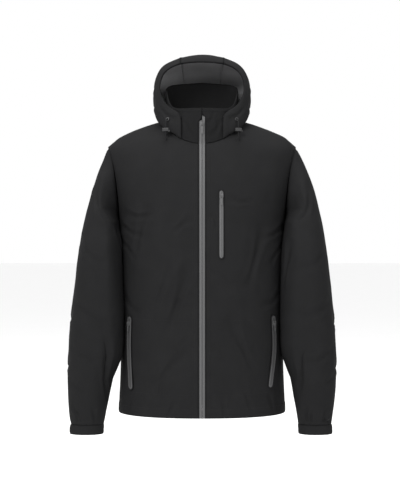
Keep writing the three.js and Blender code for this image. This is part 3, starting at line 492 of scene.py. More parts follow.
def edges_of(obj):
    """The runs of a fine sheet's edge, split at its corners."""
    bm = bmesh.new()
    bm.from_mesh(obj.data)
    bm.normal_update()
    runs = []
    for loop in boundary_loops(bm):
        angles = turns(loop)
        corners = [k for k, angle in enumerate(angles) if angle > FINE_TURN]
        count = len(loop)
        if corners:
            spans = [(a, b if b > a else b + count) for a, b in zip(corners, corners[1:] + corners[:1])]
        else:
            spans = [(0, count)]
        for first, last in spans:
            vertices = [loop[k % count] for k in range(first, last + 1)]
            points, outs, inwards = [], [], []
            for k, vertex in enumerate(vertices):
                before = vertices[max(k - 1, 0)].co
                after = vertices[min(k + 1, len(vertices) - 1)].co
                along = (after - before).normalized()
                inward = vertex.normal.cross(along).normalized()
                face = min(vertex.link_faces, key=lambda f: f.index)
                towards = face.calc_center_median() - vertex.co
                points.append(vertex.co.copy())
                outs.append(vertex.normal.copy())
                inwards.append(inward if inward.dot(towards) > 0 else -inward)
            runs.append(Edge(points, outs, inwards, not corners))
    bm.free()
    return runs


def edge_at(edges, seam, side=1):
    """The edge that runs past the place of one of the jacket's seams."""
    across, ahead, up = SEAMS[seam][0]
    return min(edges, key=lambda edge: edge.distance_to((side * across, ahead, up)))


def arc_lengths(points):
    """How far along a line each of its points is."""
    return np.concatenate([[0], np.cumsum(np.linalg.norm(np.diff(points, axis=0), axis=1))])


def eased(share):
    return share * share * (3 - 2 * share)


def ray_gaps(trees, start, way):
    """How far away a ray meets each surface that it meets."""
    hits = [tree.ray_cast(start, way) for tree in trees]
    return [hit[3] for hit in hits if hit[0] is not None]


def keep_seam_gap(obj, gap):
    """Gives a sheet the distance of each point from its edge, which its material reads."""
    obj.data.attributes.new("seam", "FLOAT", "POINT").data.foreach_set("value", gap)


def edge_distances(points, edges):
    """How far each point is from the nearest of some edges."""
    fine = []
    for edge in edges:
        for a, b in zip(edge.points[:-1], edge.points[1:]):
            fine.extend(a + (b - a) * (k / EDGE_STEPS) for k in range(EDGE_STEPS))
        fine.append(edge.points[-1])
    tree = KDTree(len(fine))
    for k, point in enumerate(fine):
        tree.insert(point, k)
    tree.balance()
    return np.array([tree.find(point)[2] for point in points])


def surface(obj):
    """A search tree of an object's faces."""
    bm = bmesh.new()
    bm.from_mesh(obj.data)
    tree = BVHTree.FromBMesh(bm)
    bm.free()
    return tree


def drawn_on(tree, view, drawing, steps=CREASE_STEPS, sway=SWAY):
    """A flat drawing's line as points on the cloth, with a slight sway along it."""
    flat = np.array(drawing, float) * MM
    lengths = arc_lengths(flat)
    path = []
    for at in np.linspace(0, lengths[-1], steps):
        across = np.interp(at, lengths, flat[:, 0])
        up = np.interp(at, lengths, flat[:, 1])
        across += sway * noise.noise(Vector((at * SWAY_RATE, *(flat[0] * SWAY_SEED))))
        start, direction = VIEWS[view](across, up)
        hit = tree.ray_cast(Vector(start), Vector(direction))[0]
        if hit is not None:
            path.append(hit)
    return np.array(path)


def crease_heights(points, path, wide, deep, rise):
    """A soft trough along a path that fades at both ends, with an uneven roll of cloth on each side."""
    starts, ends = path[:-1], path[1:]
    runs = ends - starts
    lengths = np.linalg.norm(runs, axis=1)
    before = np.concatenate([[0], np.cumsum(lengths)[:-1]])
    best = np.full(len(points), np.inf)
    share = np.zeros(len(points))
    for start, run, length, so_far in zip(starts, runs, lengths, before):
        reach = np.clip((points - start) @ run / (length * length + 1e-12), 0, 1)
        gap = np.linalg.norm(points - (start + reach[:, None] * run), axis=1)
        closer = gap < best
        best[closer] = gap[closer]
        share[closer] = ((so_far + reach * length) / lengths.sum())[closer]
    fade = np.sin(np.pi * np.clip(share, 0, 1)) ** 0.6
    width = wide * (0.8 + 0.35 * np.sin(2.2 + 4.1 * share))
    trough = np.exp(-((best / width) ** 2))
    roll = np.exp(-(((best - 1.8 * width) / (0.8 * width)) ** 2))
    return fade * (rise * roll - deep * trough)


def slack_heights(points, seed, near_seam):
    """Slight unevenness of cloth: broad swells, small dents, and pucker beside a seam."""
    heights = np.empty(len(points))
    shift = Vector((seed * 3.7, seed * 1.3, seed * 2.1))
    for k, point in enumerate(points):
        place = Vector(point)
        broad = noise.noise(place * SWELL_RATE + shift)
        dents = noise.noise(Vector((place.x * DENT_RATE, place.y * DENT_RATE,
                                    place.z * DENT_RISE_RATE)) + shift)
        pucker = noise.noise(place * PUCKER_RATE + shift)
        heights[k] = SWELL * broad + DENT * dents + PUCKER * near_seam[k] * pucker
    return heights * MM


def drape(obj, node, edges, bands=()):
    """Creases a fine sheet along its normals; its edge stays where the seams are."""
    settings = bpy.context.scene.jacket_cloth
    points = coordinates(obj.data)
    outs = normals(obj.data)
    gap = edge_distances(points, edges)
    seed = sum(map(ord, node)) % 97
    heights = slack_heights(points, seed, np.exp(-gap / PUCKER_REACH))
    heights *= eased(np.clip(gap / EDGE_FADE, 0, 1))
    tree = surface(obj)
    for view, rows in CREASES.get(node, {}).items():
        for wide, deep, rise, *line in rows:
            path = drawn_on(tree, view, np.reshape(line, (-1, 2)))
            if len(path) > 2:
                crease = crease_heights(points, path, CREASE_SPREAD * wide * MM, deep * MM, rise * MM)
                heights += crease * settings.crease_depth * np.clip(gap / CREASE_FADE + 0.12, 0, 1)
    for edge, wide, lift in bands:
        near = edge_distances(points, [edge])
        inside = np.clip((wide * MM - near) / BAND_STEP + 0.5, 0, 1)
        heights += lift * MM * inside * np.clip(near / BAND_EDGE, 0.35, 1)
    set_coordinates(obj.data, points + outs * heights[:, None])
    keep_seam_gap(obj, gap)


def lean_on(obj, side, bodies):
    """Lets the inner side of a sleeve rest against the body below the armpit."""
    points = coordinates(obj.data)
    trees = [surface(body) for body in bodies]
    inward = Vector((-side, 0, 0))
    for k, out in enumerate(normals(obj.data)):
        facing = np.clip((-side * out[0] - FACING_FROM) / FACING_FADE, 0, 1)
        level = points[k][2] / MM
        reach = (facing * np.clip((LEAN_TOP - level) / LEAN_TOP_FADE, 0, 1)
                 * np.clip((level - LEAN_END) / LEAN_END_FADE, 0, 1))
        if reach > 0:
            gaps = ray_gaps(trees, Vector(points[k]), inward)
            room = max(min(gaps) - LEAN_GAP, 0) if gaps else LEAN
            points[k][0] -= side * reach * min(room, LEAN)
    set_coordinates(obj.data, points)


def puff_crown(obj):
    """Rounds the top of the hood's middle panel behind its rim."""
    points = coordinates(obj.data)
    outs = normals(obj.data)
    behind = np.clip(edge_distances(points, [edge_at(edges_of(obj), "crown_rim")]) / PUFF_FADE, 0, 1)
    across = np.clip(1 - (points[:, 0] / CROWN_HALF) ** 2, 0, 1)
    rise = CROWN_PUFF * across * eased(behind) * np.clip(outs[:, 2], 0, 1)
    set_coordinates(obj.data, points + outs * rise[:, None])


def tuck_under(obj, covers):
    """Keeps an inner sheet just inside the cloth that covers it."""
    points = coordinates(obj.data)
    trees = [surface(cover) for cover in covers]
    for k, out in enumerate(normals(obj.data)):
        way = Vector(out)
        gaps = ray_gaps(trees, Vector(points[k]) - way * TUCK_REACH, way)
        if gaps:
            points[k] -= out * max(TUCK_REACH + TUCK_GAP - min(gaps), 0)
    set_coordinates(obj.data, points)


def thicken(obj, wall):
    """Gives a sheet its thickness inward, with a closed rim."""
    solid = obj.modifiers.new("thickness", "SOLIDIFY")
    solid.thickness = wall
    solid.offset = -1
    solid.use_even_offset = True
    solid.thickness_clamp = 0.6
    applied(obj)
    obj.data.shade_smooth()


def dress(obj, material, slot, *nodes, body=BODY):
    """Gives a piece its finish and its body, and hides the solids that it stands for."""
    obj.data.materials.clear()
    obj.data.materials.append(material)
    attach(obj, body)
    if nodes:
        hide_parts(*nodes)
    return obj


# Stitches


def row_on(tree, points, outs, pitch):
    """Evenly spaced places on the cloth along a line: place, direction and normal of each stitch."""
    lengths = arc_lengths(points)
    count = max(int(lengths[-1] / pitch), 1)
    at = (np.arange(count) + 0.5) * (lengths[-1] / count)

    def along(where, values):
        return np.column_stack([np.interp(where, lengths, values[:, k]) for k in range(3)])

    places = []
    for place, up, front, back in zip(along(at, points), along(at, outs), along(at + pitch / 2, points),
                                      along(at - pitch / 2, points)):
        hit, normal, _, gap = tree.find_nearest(Vector(place))
        if hit is None or gap > STITCH_GRIP:
            continue
        if normal.dot(Vector(up)) < 0:
            normal = -normal
        places.append((hit, Vector(front - back).normalized(), normal))
    return places


def stitch_mesh(name, rows):
    """One bead of thread for each stitch, sunk a little into the cloth."""
    trim = bpy.context.scene.jacket_trim
    half = trim.stitch_length * BEAD_SHARE
    thick = trim.thread_width / 2
    bm = bmesh.new()
    for place, along, out in (stitch for places in rows for stitch in places):
        across = along.cross(out).normalized()
        middle = place + out * thick * BEAD_RISE
        rings = []
        for reach in (-BEAD_REACH, BEAD_REACH):
            ring = []
            for k in range(BEAD_SIDES):
                turn = math.tau * k / BEAD_SIDES
                off = across * math.cos(turn) + out * math.sin(turn)
                ring.append(bm.verts.new(middle + along * half * reach + off * thick * BEAD_WIDTH))
            rings.append(ring)
        tips = [bm.verts.new(middle + along * half * end - out * thick * BEAD_TIP) for end in (-1, 1)]
        for k in range(BEAD_SIDES):
            n = (k + 1) % BEAD_SIDES
            bm.faces.new((rings[0][k], rings[0][n], rings[1][n], rings[1][k]))
            bm.faces.new((tips[0], rings[0][n], rings[0][k]))
            bm.faces.new((tips[1], rings[1][k], rings[1][n]))
    return object_from(name, bm)


def beside(edge, inset):
    """The line that runs beside an edge at a distance in millimetres."""
    return edge.points + edge.inwards * inset * MM, edge.outs


def stitched(edges, seam, side=1):
    """The line of stitches along one of the jacket's seams."""
    return beside(edge_at(edges, seam, side), SEAMS[seam][1])


def sew(name, obj, lines):
    """Rows of stitches on a piece of cloth along lines of points with normals."""
    tree = surface(obj)
    pitch = bpy.context.scene.jacket_trim.stitch_length
    rows = [row_on(tree, points, outs, pitch) for points, outs in lines]
    dress(stitch_mesh(name, rows), finish("thread"), "shell")


def drawn_line(obj, view, drawing, steps=60):
    """A drawing on the cloth as a line of points with rough normals."""
    path = drawn_on(surface(obj), view, drawing, steps, 0)
    looking = VIEWS[view](0, 0)[1]
    return path, np.tile([-value for value in looking], (len(path), 1))


# Materials


class Nodes:
    """A short way to lay out one material's nodes."""

    def __init__(self, name):
        self.material = bpy.data.materials.new(name)
        self.material.use_nodes = True
        self.tree = self.material.node_tree
        self.shader = self.tree.nodes["Principled BSDF"]

    def node(self, kind, **values):
        made = self.tree.nodes.new(kind)
        for key, value in values.items():
            if key in made.bl_rna.properties:
                setattr(made, key, value)
            else:
                self.put(made, key.replace("_", " "), value)
        return made

    def put(self, node, key, value):
        socket = node.inputs[int(key)] if key.isdigit() else node.inputs[key]
        if isinstance(value, bpy.types.NodeSocket):
            self.tree.links.new(value, socket)
        else:
            socket.default_value = value

    def math(self, operation, a, b=0.0):
        made = self.node("ShaderNodeMath", operation=operation)
        self.put(made, "0", a)
        self.put(made, "1", b)
        return made.outputs[0]

    def step(self, value, low, high, to_low=0.0, to_high=1.0):
        made = self.node("ShaderNodeMapRange", interpolation_type="SMOOTHSTEP")
        for key, number in zip(("Value", "From Min", "From Max", "To Min", "To Max"),
                               (value, low, high, to_low, to_high)):
            self.put(made, key, number)
        return made.outputs["Result"]

    def place(self, stretch=(1, 1, 1)):
        coordinates = self.node("ShaderNodeTexCoord")
        mapping = self.node("ShaderNodeMapping")
        self.put(mapping, "Vector", coordinates.outputs["Object"])
        self.put(mapping, "Scale", stretch)
        return mapping.outputs["Vector"]

    def noise(self, scale, detail=2.0, stretch=(1, 1, 1)):
        made = self.node("ShaderNodeTexNoise")
        self.put(made, "Vector", self.place(stretch))
        self.put(made, "Scale", scale)
        self.put(made, "Detail", detail)
        return made.outputs["Fac"]

    def cells(self, scale, stretch=(1, 1, 1)):
        made = self.node("ShaderNodeTexVoronoi")
        self.put(made, "Vector", self.place(stretch))
        self.put(made, "Scale", scale)
        return made.outputs["Distance"]

    def shade(self, colour, amount, share):
        """A colour made lighter or darker by an amount, where share runs from 0 to 1."""
        made = self.node("ShaderNodeMix", data_type="RGBA")
        self.put(made, "0", share)
        self.put(made, "6", (*[value * (1 - amount) for value in colour], 1))
        self.put(made, "7", (*[value * (1 + amount) for value in colour], 1))
        return made.outputs[2]

    def bump(self, height, distance, strength=1.0, normal=None):
        made = self.node("ShaderNodeBump")
        self.put(made, "Height", height)
        self.put(made, "Distance", distance)
        self.put(made, "Strength", strength)
        if normal is not None:
            self.put(made, "Normal", normal)
        return made.outputs["Normal"]

    def finish(self, colour, roughness, normal, **sockets):
        self.put(self.shader, "Base Color", colour)
        self.put(self.shader, "Roughness", roughness)
        self.put(self.shader, "Normal", normal)
        for key, value in sockets.items():
            self.put(self.shader, key.replace("_", " "), value)
        return self.material


def woven(name, colour, thread=0.75, nap=0.0, seamed=True, rough=0.82):
    """Bonded softshell or lining: fine weave, faint mottling, and a pressed line beside each seam."""
    made = Nodes(name)
    weave = made.cells(1 / (thread * MM), (1, 1, 0.8))
    mottle = made.noise(26, 3.0)
    fleck = made.noise(900, 1.0, (1, 1, 0.45))
    share = made.math("ADD", made.math("MULTIPLY", mottle, 0.55), made.math("MULTIPLY", fleck, 0.45))
    tone = made.shade(colour, 0.32, share)
    height = made.math("MULTIPLY", weave, 0.5)
    if nap:
        height = made.math("ADD", height, made.math("MULTIPLY", made.noise(420, 4.0), nap))
    normal = made.bump(height, 0.35 * MM, 0.5)
    if seamed:
        seam = made.node("ShaderNodeAttribute", attribute_name="seam").outputs["Fac"]
        turned = made.step(seam, 0.0, 1.4 * MM)
        pressed = made.math("MULTIPLY", made.step(seam, 2.2 * MM, 3.0 * MM, 1.0, 0.0),
                            made.step(seam, 1.6 * MM, 2.4 * MM))
        relief = made.math("SUBTRACT", turned, made.math("MULTIPLY", pressed, 0.55))
        normal = made.bump(relief, 1.1 * MM, 0.8, normal)
    wear = made.math("ADD", made.math("MULTIPLY", mottle, 0.1), rough - 0.05)
    return made.finish(tone, wear, normal, Specular_IOR_Level=0.05)


def zip_cloth(name, colour, middle):
    """Smooth zip tape with the coil's ribs pressing through beside its middle line, and painted shade along
    that line where the two rows part.
    """
    made = Nodes(name)
    grain = made.noise(1500, 2.0, (1, 1, 0.3))
    ribs = made.node("ShaderNodeTexWave", wave_type="BANDS", bands_direction="Z", wave_profile="SIN")
    made.put(ribs, "Vector", made.place())
    made.put(ribs, "Scale", 0.314 / (1.5 * MM))
    ribbed = made.step(middle(made), 2.4 * MM, 3.2 * MM, 1.0, 0.0)
    # Painted shade: the colour darkens along the middle line, in the groove where the rows meet; the groove
    # is also bumped in
    line = made.step(middle(made), 0.25 * MM, 0.9 * MM, 1.0, 0.0)
    rib = made.math("MULTIPLY", ribs.outputs["Fac"], ribbed)
    tone = made.shade(colour, 0.16, made.math("ADD", made.math("MULTIPLY", grain, 0.6),
                                              made.math("MULTIPLY", rib, 0.4)))
    parting_shade = made.node("ShaderNodeMix", data_type="RGBA")
    made.put(parting_shade, "0", made.math("MULTIPLY", line, 0.5))
    made.put(parting_shade, "6", tone)
    made.put(parting_shade, "7", (*[value * 0.22 for value in colour], 1))
    height = made.math("SUBTRACT", made.math("MULTIPLY", rib, 0.4), made.math("MULTIPLY", line, 1.0))
    normal = made.bump(made.math("MULTIPLY", grain, 0.3), 0.2 * MM, 0.4)
    normal = made.bump(height, 0.6 * MM, 0.7, normal)
    rough = made.math("ADD", made.math("MULTIPLY", grain, 0.12), 0.5)
    return made.finish(parting_shade.outputs[2], rough, normal, Specular_IOR_Level=0.35)


def metal(name, colour):
    """Satin grey coating on a cast slider, with fine rubbed marks."""
    made = Nodes(name)
    rub = made.noise(700, 3.0, (1, 1, 0.15))
    broad = made.noise(60, 2.0)
    normal = made.bump(rub, 0.1 * MM, 0.35)
    rough = made.math("ADD", made.math("MULTIPLY", broad, 0.18), 0.3)
    return made.finish(made.shade(colour, 0.14, rub), rough, normal, Metallic=0.2)


def plastic(name, colour):
    """Satin moulded plastic with a faint grain."""
    made = Nodes(name)
    grain = made.noise(1100, 2.0)
    rough = made.math("ADD", made.math("MULTIPLY", made.noise(90, 2.0), 0.12), 0.36)
    return made.finish(made.shade(colour, 0.12, grain), rough, made.bump(grain, 0.15 * MM, 0.3),
                       Specular_IOR_Level=0.22)


def braid(name, colour):
    """Braided elastic: two sets of bands that cross round the cord."""
    made = Nodes(name)
    bands = []
    for lean in (1, -1):
        wave = made.node("ShaderNodeTexWave", wave_type="BANDS", bands_direction="DIAGONAL")
        made.put(wave, "Vector", made.place((lean, lean, 1)))
        made.put(wave, "Scale", 0.314 / (1.2 * MM))
        bands.append(wave.outputs["Fac"])
    height = made.math("MULTIPLY", *bands)
    return made.finish(made.shade(colour, 0.3, height), 0.82, made.bump(height, 0.4 * MM, 0.7),
                       Specular_IOR_Level=0.08)


def from_middle(made):
    """Distance from the jacket's middle plane, for the front zip."""
    split = made.node("ShaderNodeSeparateXYZ")
    made.put(split, "Vector", made.node("ShaderNodeTexCoord").outputs["Object"])
    return made.math("ABSOLUTE", split.outputs["X"])


def from_strip_line(made):
    """Distance from a pocket zip's middle line: its half width less the distance from its edge."""
    seam = made.node("ShaderNodeAttribute", attribute_name="seam").outputs["Fac"]
    return made.math("MAXIMUM", made.math("SUBTRACT", STRIP_HALF, seam), 0.0)


FINISHES = {}


def finish(name):
    """One of the jacket's materials, made the first time that it is asked for."""
    if name not in FINISHES:
        cloth = bpy.context.scene.jacket_cloth
        trim = bpy.context.scene.jacket_trim
        makers = {
            "shell": lambda: woven("softshell", cloth.shell_colour),
            # The collar's material is the shell's colour darkened: painted shade for the shade that falls on
            # the collar under the hood
            "collar": lambda: woven("softshell collar with painted shade",
                                    [COLLAR_PAINTED_SHADE * value for value in cloth.shell_colour]),
            "band": lambda: woven("softshell facing", cloth.shell_colour, rough=0.86),
            "fleece": lambda: woven("collar fleece", cloth.fleece_colour, 1.4, nap=1.6, rough=0.92),
            "hood_lining": lambda: woven("hood lining", cloth.lining_colour, 1.1, nap=0.5, seamed=False,
                                         rough=0.88),
            "thread": lambda: woven("sewing thread", cloth.thread_colour, 0.4, seamed=False, rough=0.7),
            "tape": lambda: zip_cloth("zip tape", trim.tape_colour, from_middle),
            "strip": lambda: zip_cloth("pocket zip", trim.tape_colour, from_strip_line),
            "coil": lambda: plastic("zip coil", trim.coil_colour),
            "metal": lambda: metal("slider grey", trim.metal_colour),
            "plastic": lambda: plastic("cord lock black", trim.lock_colour),
            "cord": lambda: braid("braided cord", trim.cord_colour),
        }
        FINISHES[name] = makers[name]()
    return FINISHES[name]


# Pieces


def cloth_piece(node, material, bands=(), wall=SHELL_WALL, levels=SHELL_LEVELS, slot="shell",
                settle=None):
    """A whole piece of cloth from its solid: smooth, creased, and as thick as the cloth."""
    obj = smooth_sheet(node + CLOTH_END, outer_face(node, wall), levels)
    edges = edges_of(obj)
    drape(obj, node, edges, [(edge_at(edges, seam, side), *SEAMS[seam][2]) for seam, side in bands])
    if settle:
        settle(obj)
    thicken(obj, wall)
    dress(obj, finish(material), slot, node)
    return obj, edges


def tube(name, path, radius, sides=TUBE_SIDES, closed=False):
    """A round tube along a path, capped at its ends unless it closes on itself."""
    bm = bmesh.new()
    rings = []
    count = len(path)
    side = None
    for k, point in enumerate(path):
        before = path[k - 1] if closed or k > 0 else point
        after = path[(k + 1) % count] if closed or k < count - 1 else point
        along = (after - before).normalized()
        if side is None:
            side = along.orthogonal().normalized()
        side = (side - along * side.dot(along)).normalized()
        across = along.cross(side)
        rings.append([bm.verts.new(point + radius * (side * math.cos(math.tau * s / sides)
                                                     + across * math.sin(math.tau * s / sides)))
                      for s in range(sides)])
    for k in range(count if closed else count - 1):
        ring, other = rings[k], rings[(k + 1) % count]
        shift = 0
        if closed and k == count - 1:
            shift = min(range(sides), key=lambda s: (other[s].co - ring[0].co).length)
        for s in range(sides):
            n = (s + 1) % sides
            bm.faces.new((ring[s], ring[n], other[(n + shift) % sides], other[(s + shift) % sides]))
    if not closed:
        bm.faces.new(list(reversed(rings[0])))
        bm.faces.new(rings[-1])
    bmesh.ops.recalc_face_normals(bm, faces=bm.faces)
    return object_from(name, bm)


def smooth_path(points, steps):
    """A Catmull-Rom line through points, with a number of steps between each two."""
    ends = [points[0] * 2 - points[1], *points, points[-1] * 2 - points[-2]]
    path = []
    for k in range(1, len(ends) - 2):
        a, b, c, d = ends[k - 1:k + 3]
        for step in range(steps):
            t = step / steps
            path.append(0.5 * (2 * b + (c - a) * t + (2 * a - 5 * b + 4 * c - d) * t * t
                               + (3 * b - a - 3 * c + d) * t * t * t))
    path.append(points[-1])
    return path


def rounded_copy(name, node, width, segments=3):
    """A solid's own shape with its edges rounded off."""
    bm = bmesh.new()
    bm.from_mesh(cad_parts[node].data)
    bmesh.ops.remove_doubles(bm, verts=bm.verts, dist=MERGE)
    bmesh.ops.dissolve_limit(bm, angle_limit=FLAT_TURN, verts=bm.verts, edges=bm.edges)
    obj = object_from(name, bm)
    bevel = obj.modifiers.new("round", "BEVEL")
    bevel.width = width * MM
    bevel.segments = segments
    bevel.limit_method = "ANGLE"
    bevel.angle_limit = ROUND_TURN
    applied(obj)
    obj.data.shade_smooth()
    obj.data.set_sharp_from_angle(angle=SHARP_TURN)
    return obj


def seam_allowance(name, edge, radius=SEAM_RADIUS):
    """The turned-in edge behind a seam, which closes the line between two pieces."""
    path = [Vector(p) - Vector(o) * (radius + SEAM_SINK) for p, o in zip(edge.points, edge.outs)]
    path = path[:-1] if edge.closed else path
    dress(tube(name, path, radius, closed=edge.closed), finish("shell"), "shell")


def zip_fold(name, edge):
    """The folded edge of a panel along the front zip, which covers the side of the tape."""
    path = [Vector(p) - Vector(i) * FOLD_REACH for p, i in zip(edge.points, edge.inwards)]
    dress(tube(name, path, FOLD_RADIUS), finish("shell"), "shell")


def make_cord(hand, side):
    """The end of the hood's cord with its eyelet, lock and knot."""
    turn = Matrix.Rotation(side * CORD_YAW, 4, "Z")
    exit_point = Vector((side * CORD_EXIT[0], CORD_EXIT[1], CORD_EXIT[2])) * MM

    def at(out, down, across=0.0):
        return exit_point + turn @ (Vector((across, -out, -down)) * MM)

    route = [at(out, down) for out, down in CORD_ROUTE]
    cord = tube(f"drawcord_{hand}", smooth_path(route, 3), CORD_WIDE / 2 * MM, CORD_SIDES)
    dress(cord, finish("cord"), "cord", f"hood_cord_{hand}")
    out, down = CORD_ROUTE[-1]
    wind = []
    for k in range(KNOT_STEPS):
        t = math.tau * k / KNOT_STEPS
        loop = (math.sin(t) + 2 * math.sin(2 * t), math.cos(t) - 2 * math.cos(2 * t), -math.sin(3 * t))
        wide, deep, tall = (size * part for size, part in zip(KNOT_SIZE, loop))
        wind.append(at(out + deep, down + KNOT_DROP + wide, tall))
    knot = tube(f"drawcord_knot_{hand}", wind, KNOT_RADIUS, closed=True)
    dress(knot, finish("cord"), "cord", f"cord_knot_{hand}")
    lock = rounded_copy(f"drawcord_lock_{hand}", f"cord_lock_{hand}", 0.9)
    dress(lock, finish("plastic"), "lock_plastic", f"cord_lock_{hand}")
    button = cord_button(hand, at)
    eyelet = rounded_copy(f"drawcord_eyelet_{hand}", f"eyelet_{hand}", 0.4)
    dress(eyelet, finish("plastic"), "lock_plastic", f"eyelet_{hand}")


def cord_button(hand, at):
    """The lock's press button: a ribbed block that stands out of one end."""
    bm = bmesh.new()
    for across, wide, deep, tall in BUTTON_BLOCKS:
        corners = [bm.verts.new(at(BUTTON_OUT + y * deep, BUTTON_DOWN + z * tall, across + x * wide))
                   for x in (-0.5, 0.5) for y in (-0.5, 0.5) for z in (-0.5, 0.5)]
        for face in BLOCK_FACES:
            bm.faces.new([corners[k] for k in face])
    bmesh.ops.recalc_face_normals(bm, faces=bm.faces)
    bmesh.ops.bevel(bm, geom=bm.edges[:], offset=BUTTON_ROUND, segments=2, affect="EDGES")
    return dress(object_from(f"lock_button_{hand}", bm), finish("plastic"), "lock_plastic")


def make_front(hand, side):
    """A front panel with its turned hem, and the sewing along its edges and its pocket."""
    bands = [(seam, side) for seam in ("front_hem", "zip", "armhole")]
    obj, edges = cloth_piece(f"front_{hand}", "shell", bands)
    lines = [stitched(edges, seam, side) for seam in ("front_hem", "zip", "neck", "shoulder", "armhole")]
    fly = edge_at(edges, "zip", side)
    if side < 0:
        lines.append(beside(fly, ZIP_SECOND_ROW))
    zip_fold(f"zip_edge_{hand}", fly)
    for line in POCKET_LINES:
        lines.append(drawn_line(obj, "front", [(side * across, up) for across, up in line]))
    sew(f"stitches_front_{hand}", obj, lines)
    return obj


def make_back():
    """The back panel with its turned hem and the sewing along its edges."""
    obj, edges = cloth_piece("back", "shell", [("back_hem", 1), ("back_armhole", 1), ("back_armhole", -1)])
    lines = [stitched(edges, "back_hem"), stitched(edges, "back_neck")]
    for hand, side in HANDS:
        lines.append(stitched(edges, "back_armhole", side))
        seam_allowance(f"side_seam_{hand}", edge_at(edges, "side", side))
        seam_allowance(f"shoulder_seam_{hand}", edge_at(edges, "shoulder", side))
    sew("stitches_back", obj, lines)
    return obj


def make_sleeve(hand, side):
    """A sleeve and its cuff band with the sewing round each end."""
    bodies = [bpy.data.objects[node + CLOTH_END] for node in (f"front_{hand}", "back")]
    obj, edges = cloth_piece(f"sleeve_{hand}", "shell", [("armhole", side)],
                             settle=lambda sleeve: lean_on(sleeve, side, bodies))
    sew(f"stitches_sleeve_{hand}", obj, [stitched(edges, "wrist", side)])
    seam_allowance(f"cuff_seam_{hand}", edge_at(edges, "wrist", side), CUFF_SEAM_RADIUS)
    cuff, rims = cloth_piece(f"cuff_{hand}", "shell", [("cuff_end", side)])
    sew(f"stitches_cuff_{hand}", cuff, [stitched(rims, "cuff_end", side), stitched(rims, "cuff_top", side)])
    return obj, cuff


def make_collar():
    """The standing collar and the fleece inside it."""
    obj, edges = cloth_piece("collar", "collar", [("collar_top", 1)])
    sew("stitches_collar", obj, [stitched(edges, "collar_top"), stitched(edges, "neck")])
    for hand, side in HANDS:
        zip_fold(f"collar_zip_edge_{hand}", edge_at(edges, "collar_zip", side))
    lining, _ = cloth_piece("collar_lining", "fleece", wall=LINING_WALL, levels=LINING_LEVELS,
                            slot="fleece", settle=lambda sheet: tuck_under(sheet, [obj]))
    return obj, lining


def make_hood():
    """The three panels of the hood, sewn at the rim and along both seams, and the cloth inside them."""
    made = []
    for hand, side in HANDS:
        obj, edges = cloth_piece(f"hood_side_{hand}", "shell", [("hood_rim", side)])
        sew(f"stitches_hood_{hand}", obj,
            [stitched(edges, seam, side) for seam in ("hood_rim", "hood_seam")])
        made.append(obj)
    centre, edges = cloth_piece("hood_centre", "shell", [("crown_rim", 1)], settle=puff_crown)
    lines = [stitched(edges, "crown_rim")]
    for hand, side in HANDS:
        lines.append(stitched(edges, "hood_seam", side))
        seam_allowance(f"hood_seam_{hand}", edge_at(edges, "hood_seam", side))
    sew("stitches_hood_centre", centre, lines)
    made.append(centre)
    panels = list(made)
    inner = [("hood_facing", "band", "shell", SHELL_LEVELS)]
    for part in ("left", "right", "centre"):
        inner.append((f"hood_lining_{part}", "hood_lining", "hood_lining", LINING_LEVELS))
    for node, material, slot, levels in inner:
        made.append(cloth_piece(node, material, wall=LINING_WALL, levels=levels, slot=slot,
                                settle=lambda sheet: tuck_under(sheet, panels))[0])
    return made


def make_front_zip():
    """Two zip tapes that meet in the middle, and the coil's teeth behind them."""
    pitch = bpy.context.scene.jacket_trim.tooth_pitch
    for hand, _ in HANDS:
        name = f"zip_tape_{hand}"
        obj = smooth_sheet(name + CLOTH_END, outer_face(name, LINING_WALL, frontness), SHELL_LEVELS)
        points = coordinates(obj.data)
        aside = np.abs(points[:, 0])
        swell = np.sin(np.clip(1 - aside / TAPE_SWELL_HALF, 0, 1) * math.pi / 2)
        points[:, 1] -= TAPE_SWELL * swell * np.clip(aside / TAPE_PARTING, 0, 1)
        tuck = np.clip((points[:, 2] - points[:, 2].max() + TAPE_TUCK_LENGTH) / TAPE_TUCK_LENGTH, 0, 1)
        points[:, 1] += TAPE_TUCK * tuck
        points[:, 2] += 2.5 * TAPE_TUCK * tuck
        set_coordinates(obj.data, points)
        thicken(obj, LINING_WALL)
        dress(obj, finish("tape"), "zip_tape", name)
    low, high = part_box("zip_coil")
    line = smooth_sheet("coil_line", outer_face("zip_coil", COIL_WALL, frontness), LINING_LEVELS)
    tree = surface(line)
    bpy.data.objects.remove(line)
    bm = bmesh.new()
    size = Matrix.Diagonal((TOOTH_WIDE, COIL_WALL * 0.9, pitch * 0.82, 1))
    for k in range(int((high.z - low.z) / pitch)):
        up = low.z + (k + 0.5) * pitch
        hit = tree.ray_cast(Vector((0.1 * MM, -1, up)), Vector((0, 1, 0)))[0]
        if hit is not None:
            reach = TOOTH_REACH if k % 2 else -TOOTH_REACH
            place = Matrix.Translation((reach, hit.y + COIL_WALL / 2, up))
            bmesh.ops.create_cube(bm, size=1, matrix=place @ size)
    bmesh.ops.bevel(bm, geom=bm.edges[:], offset=TOOTH_ROUND, segments=1, affect="EDGES")
    dress(object_from("zip_teeth", bm, smooth=False), finish("coil"), "zip_tape", "zip_coil")


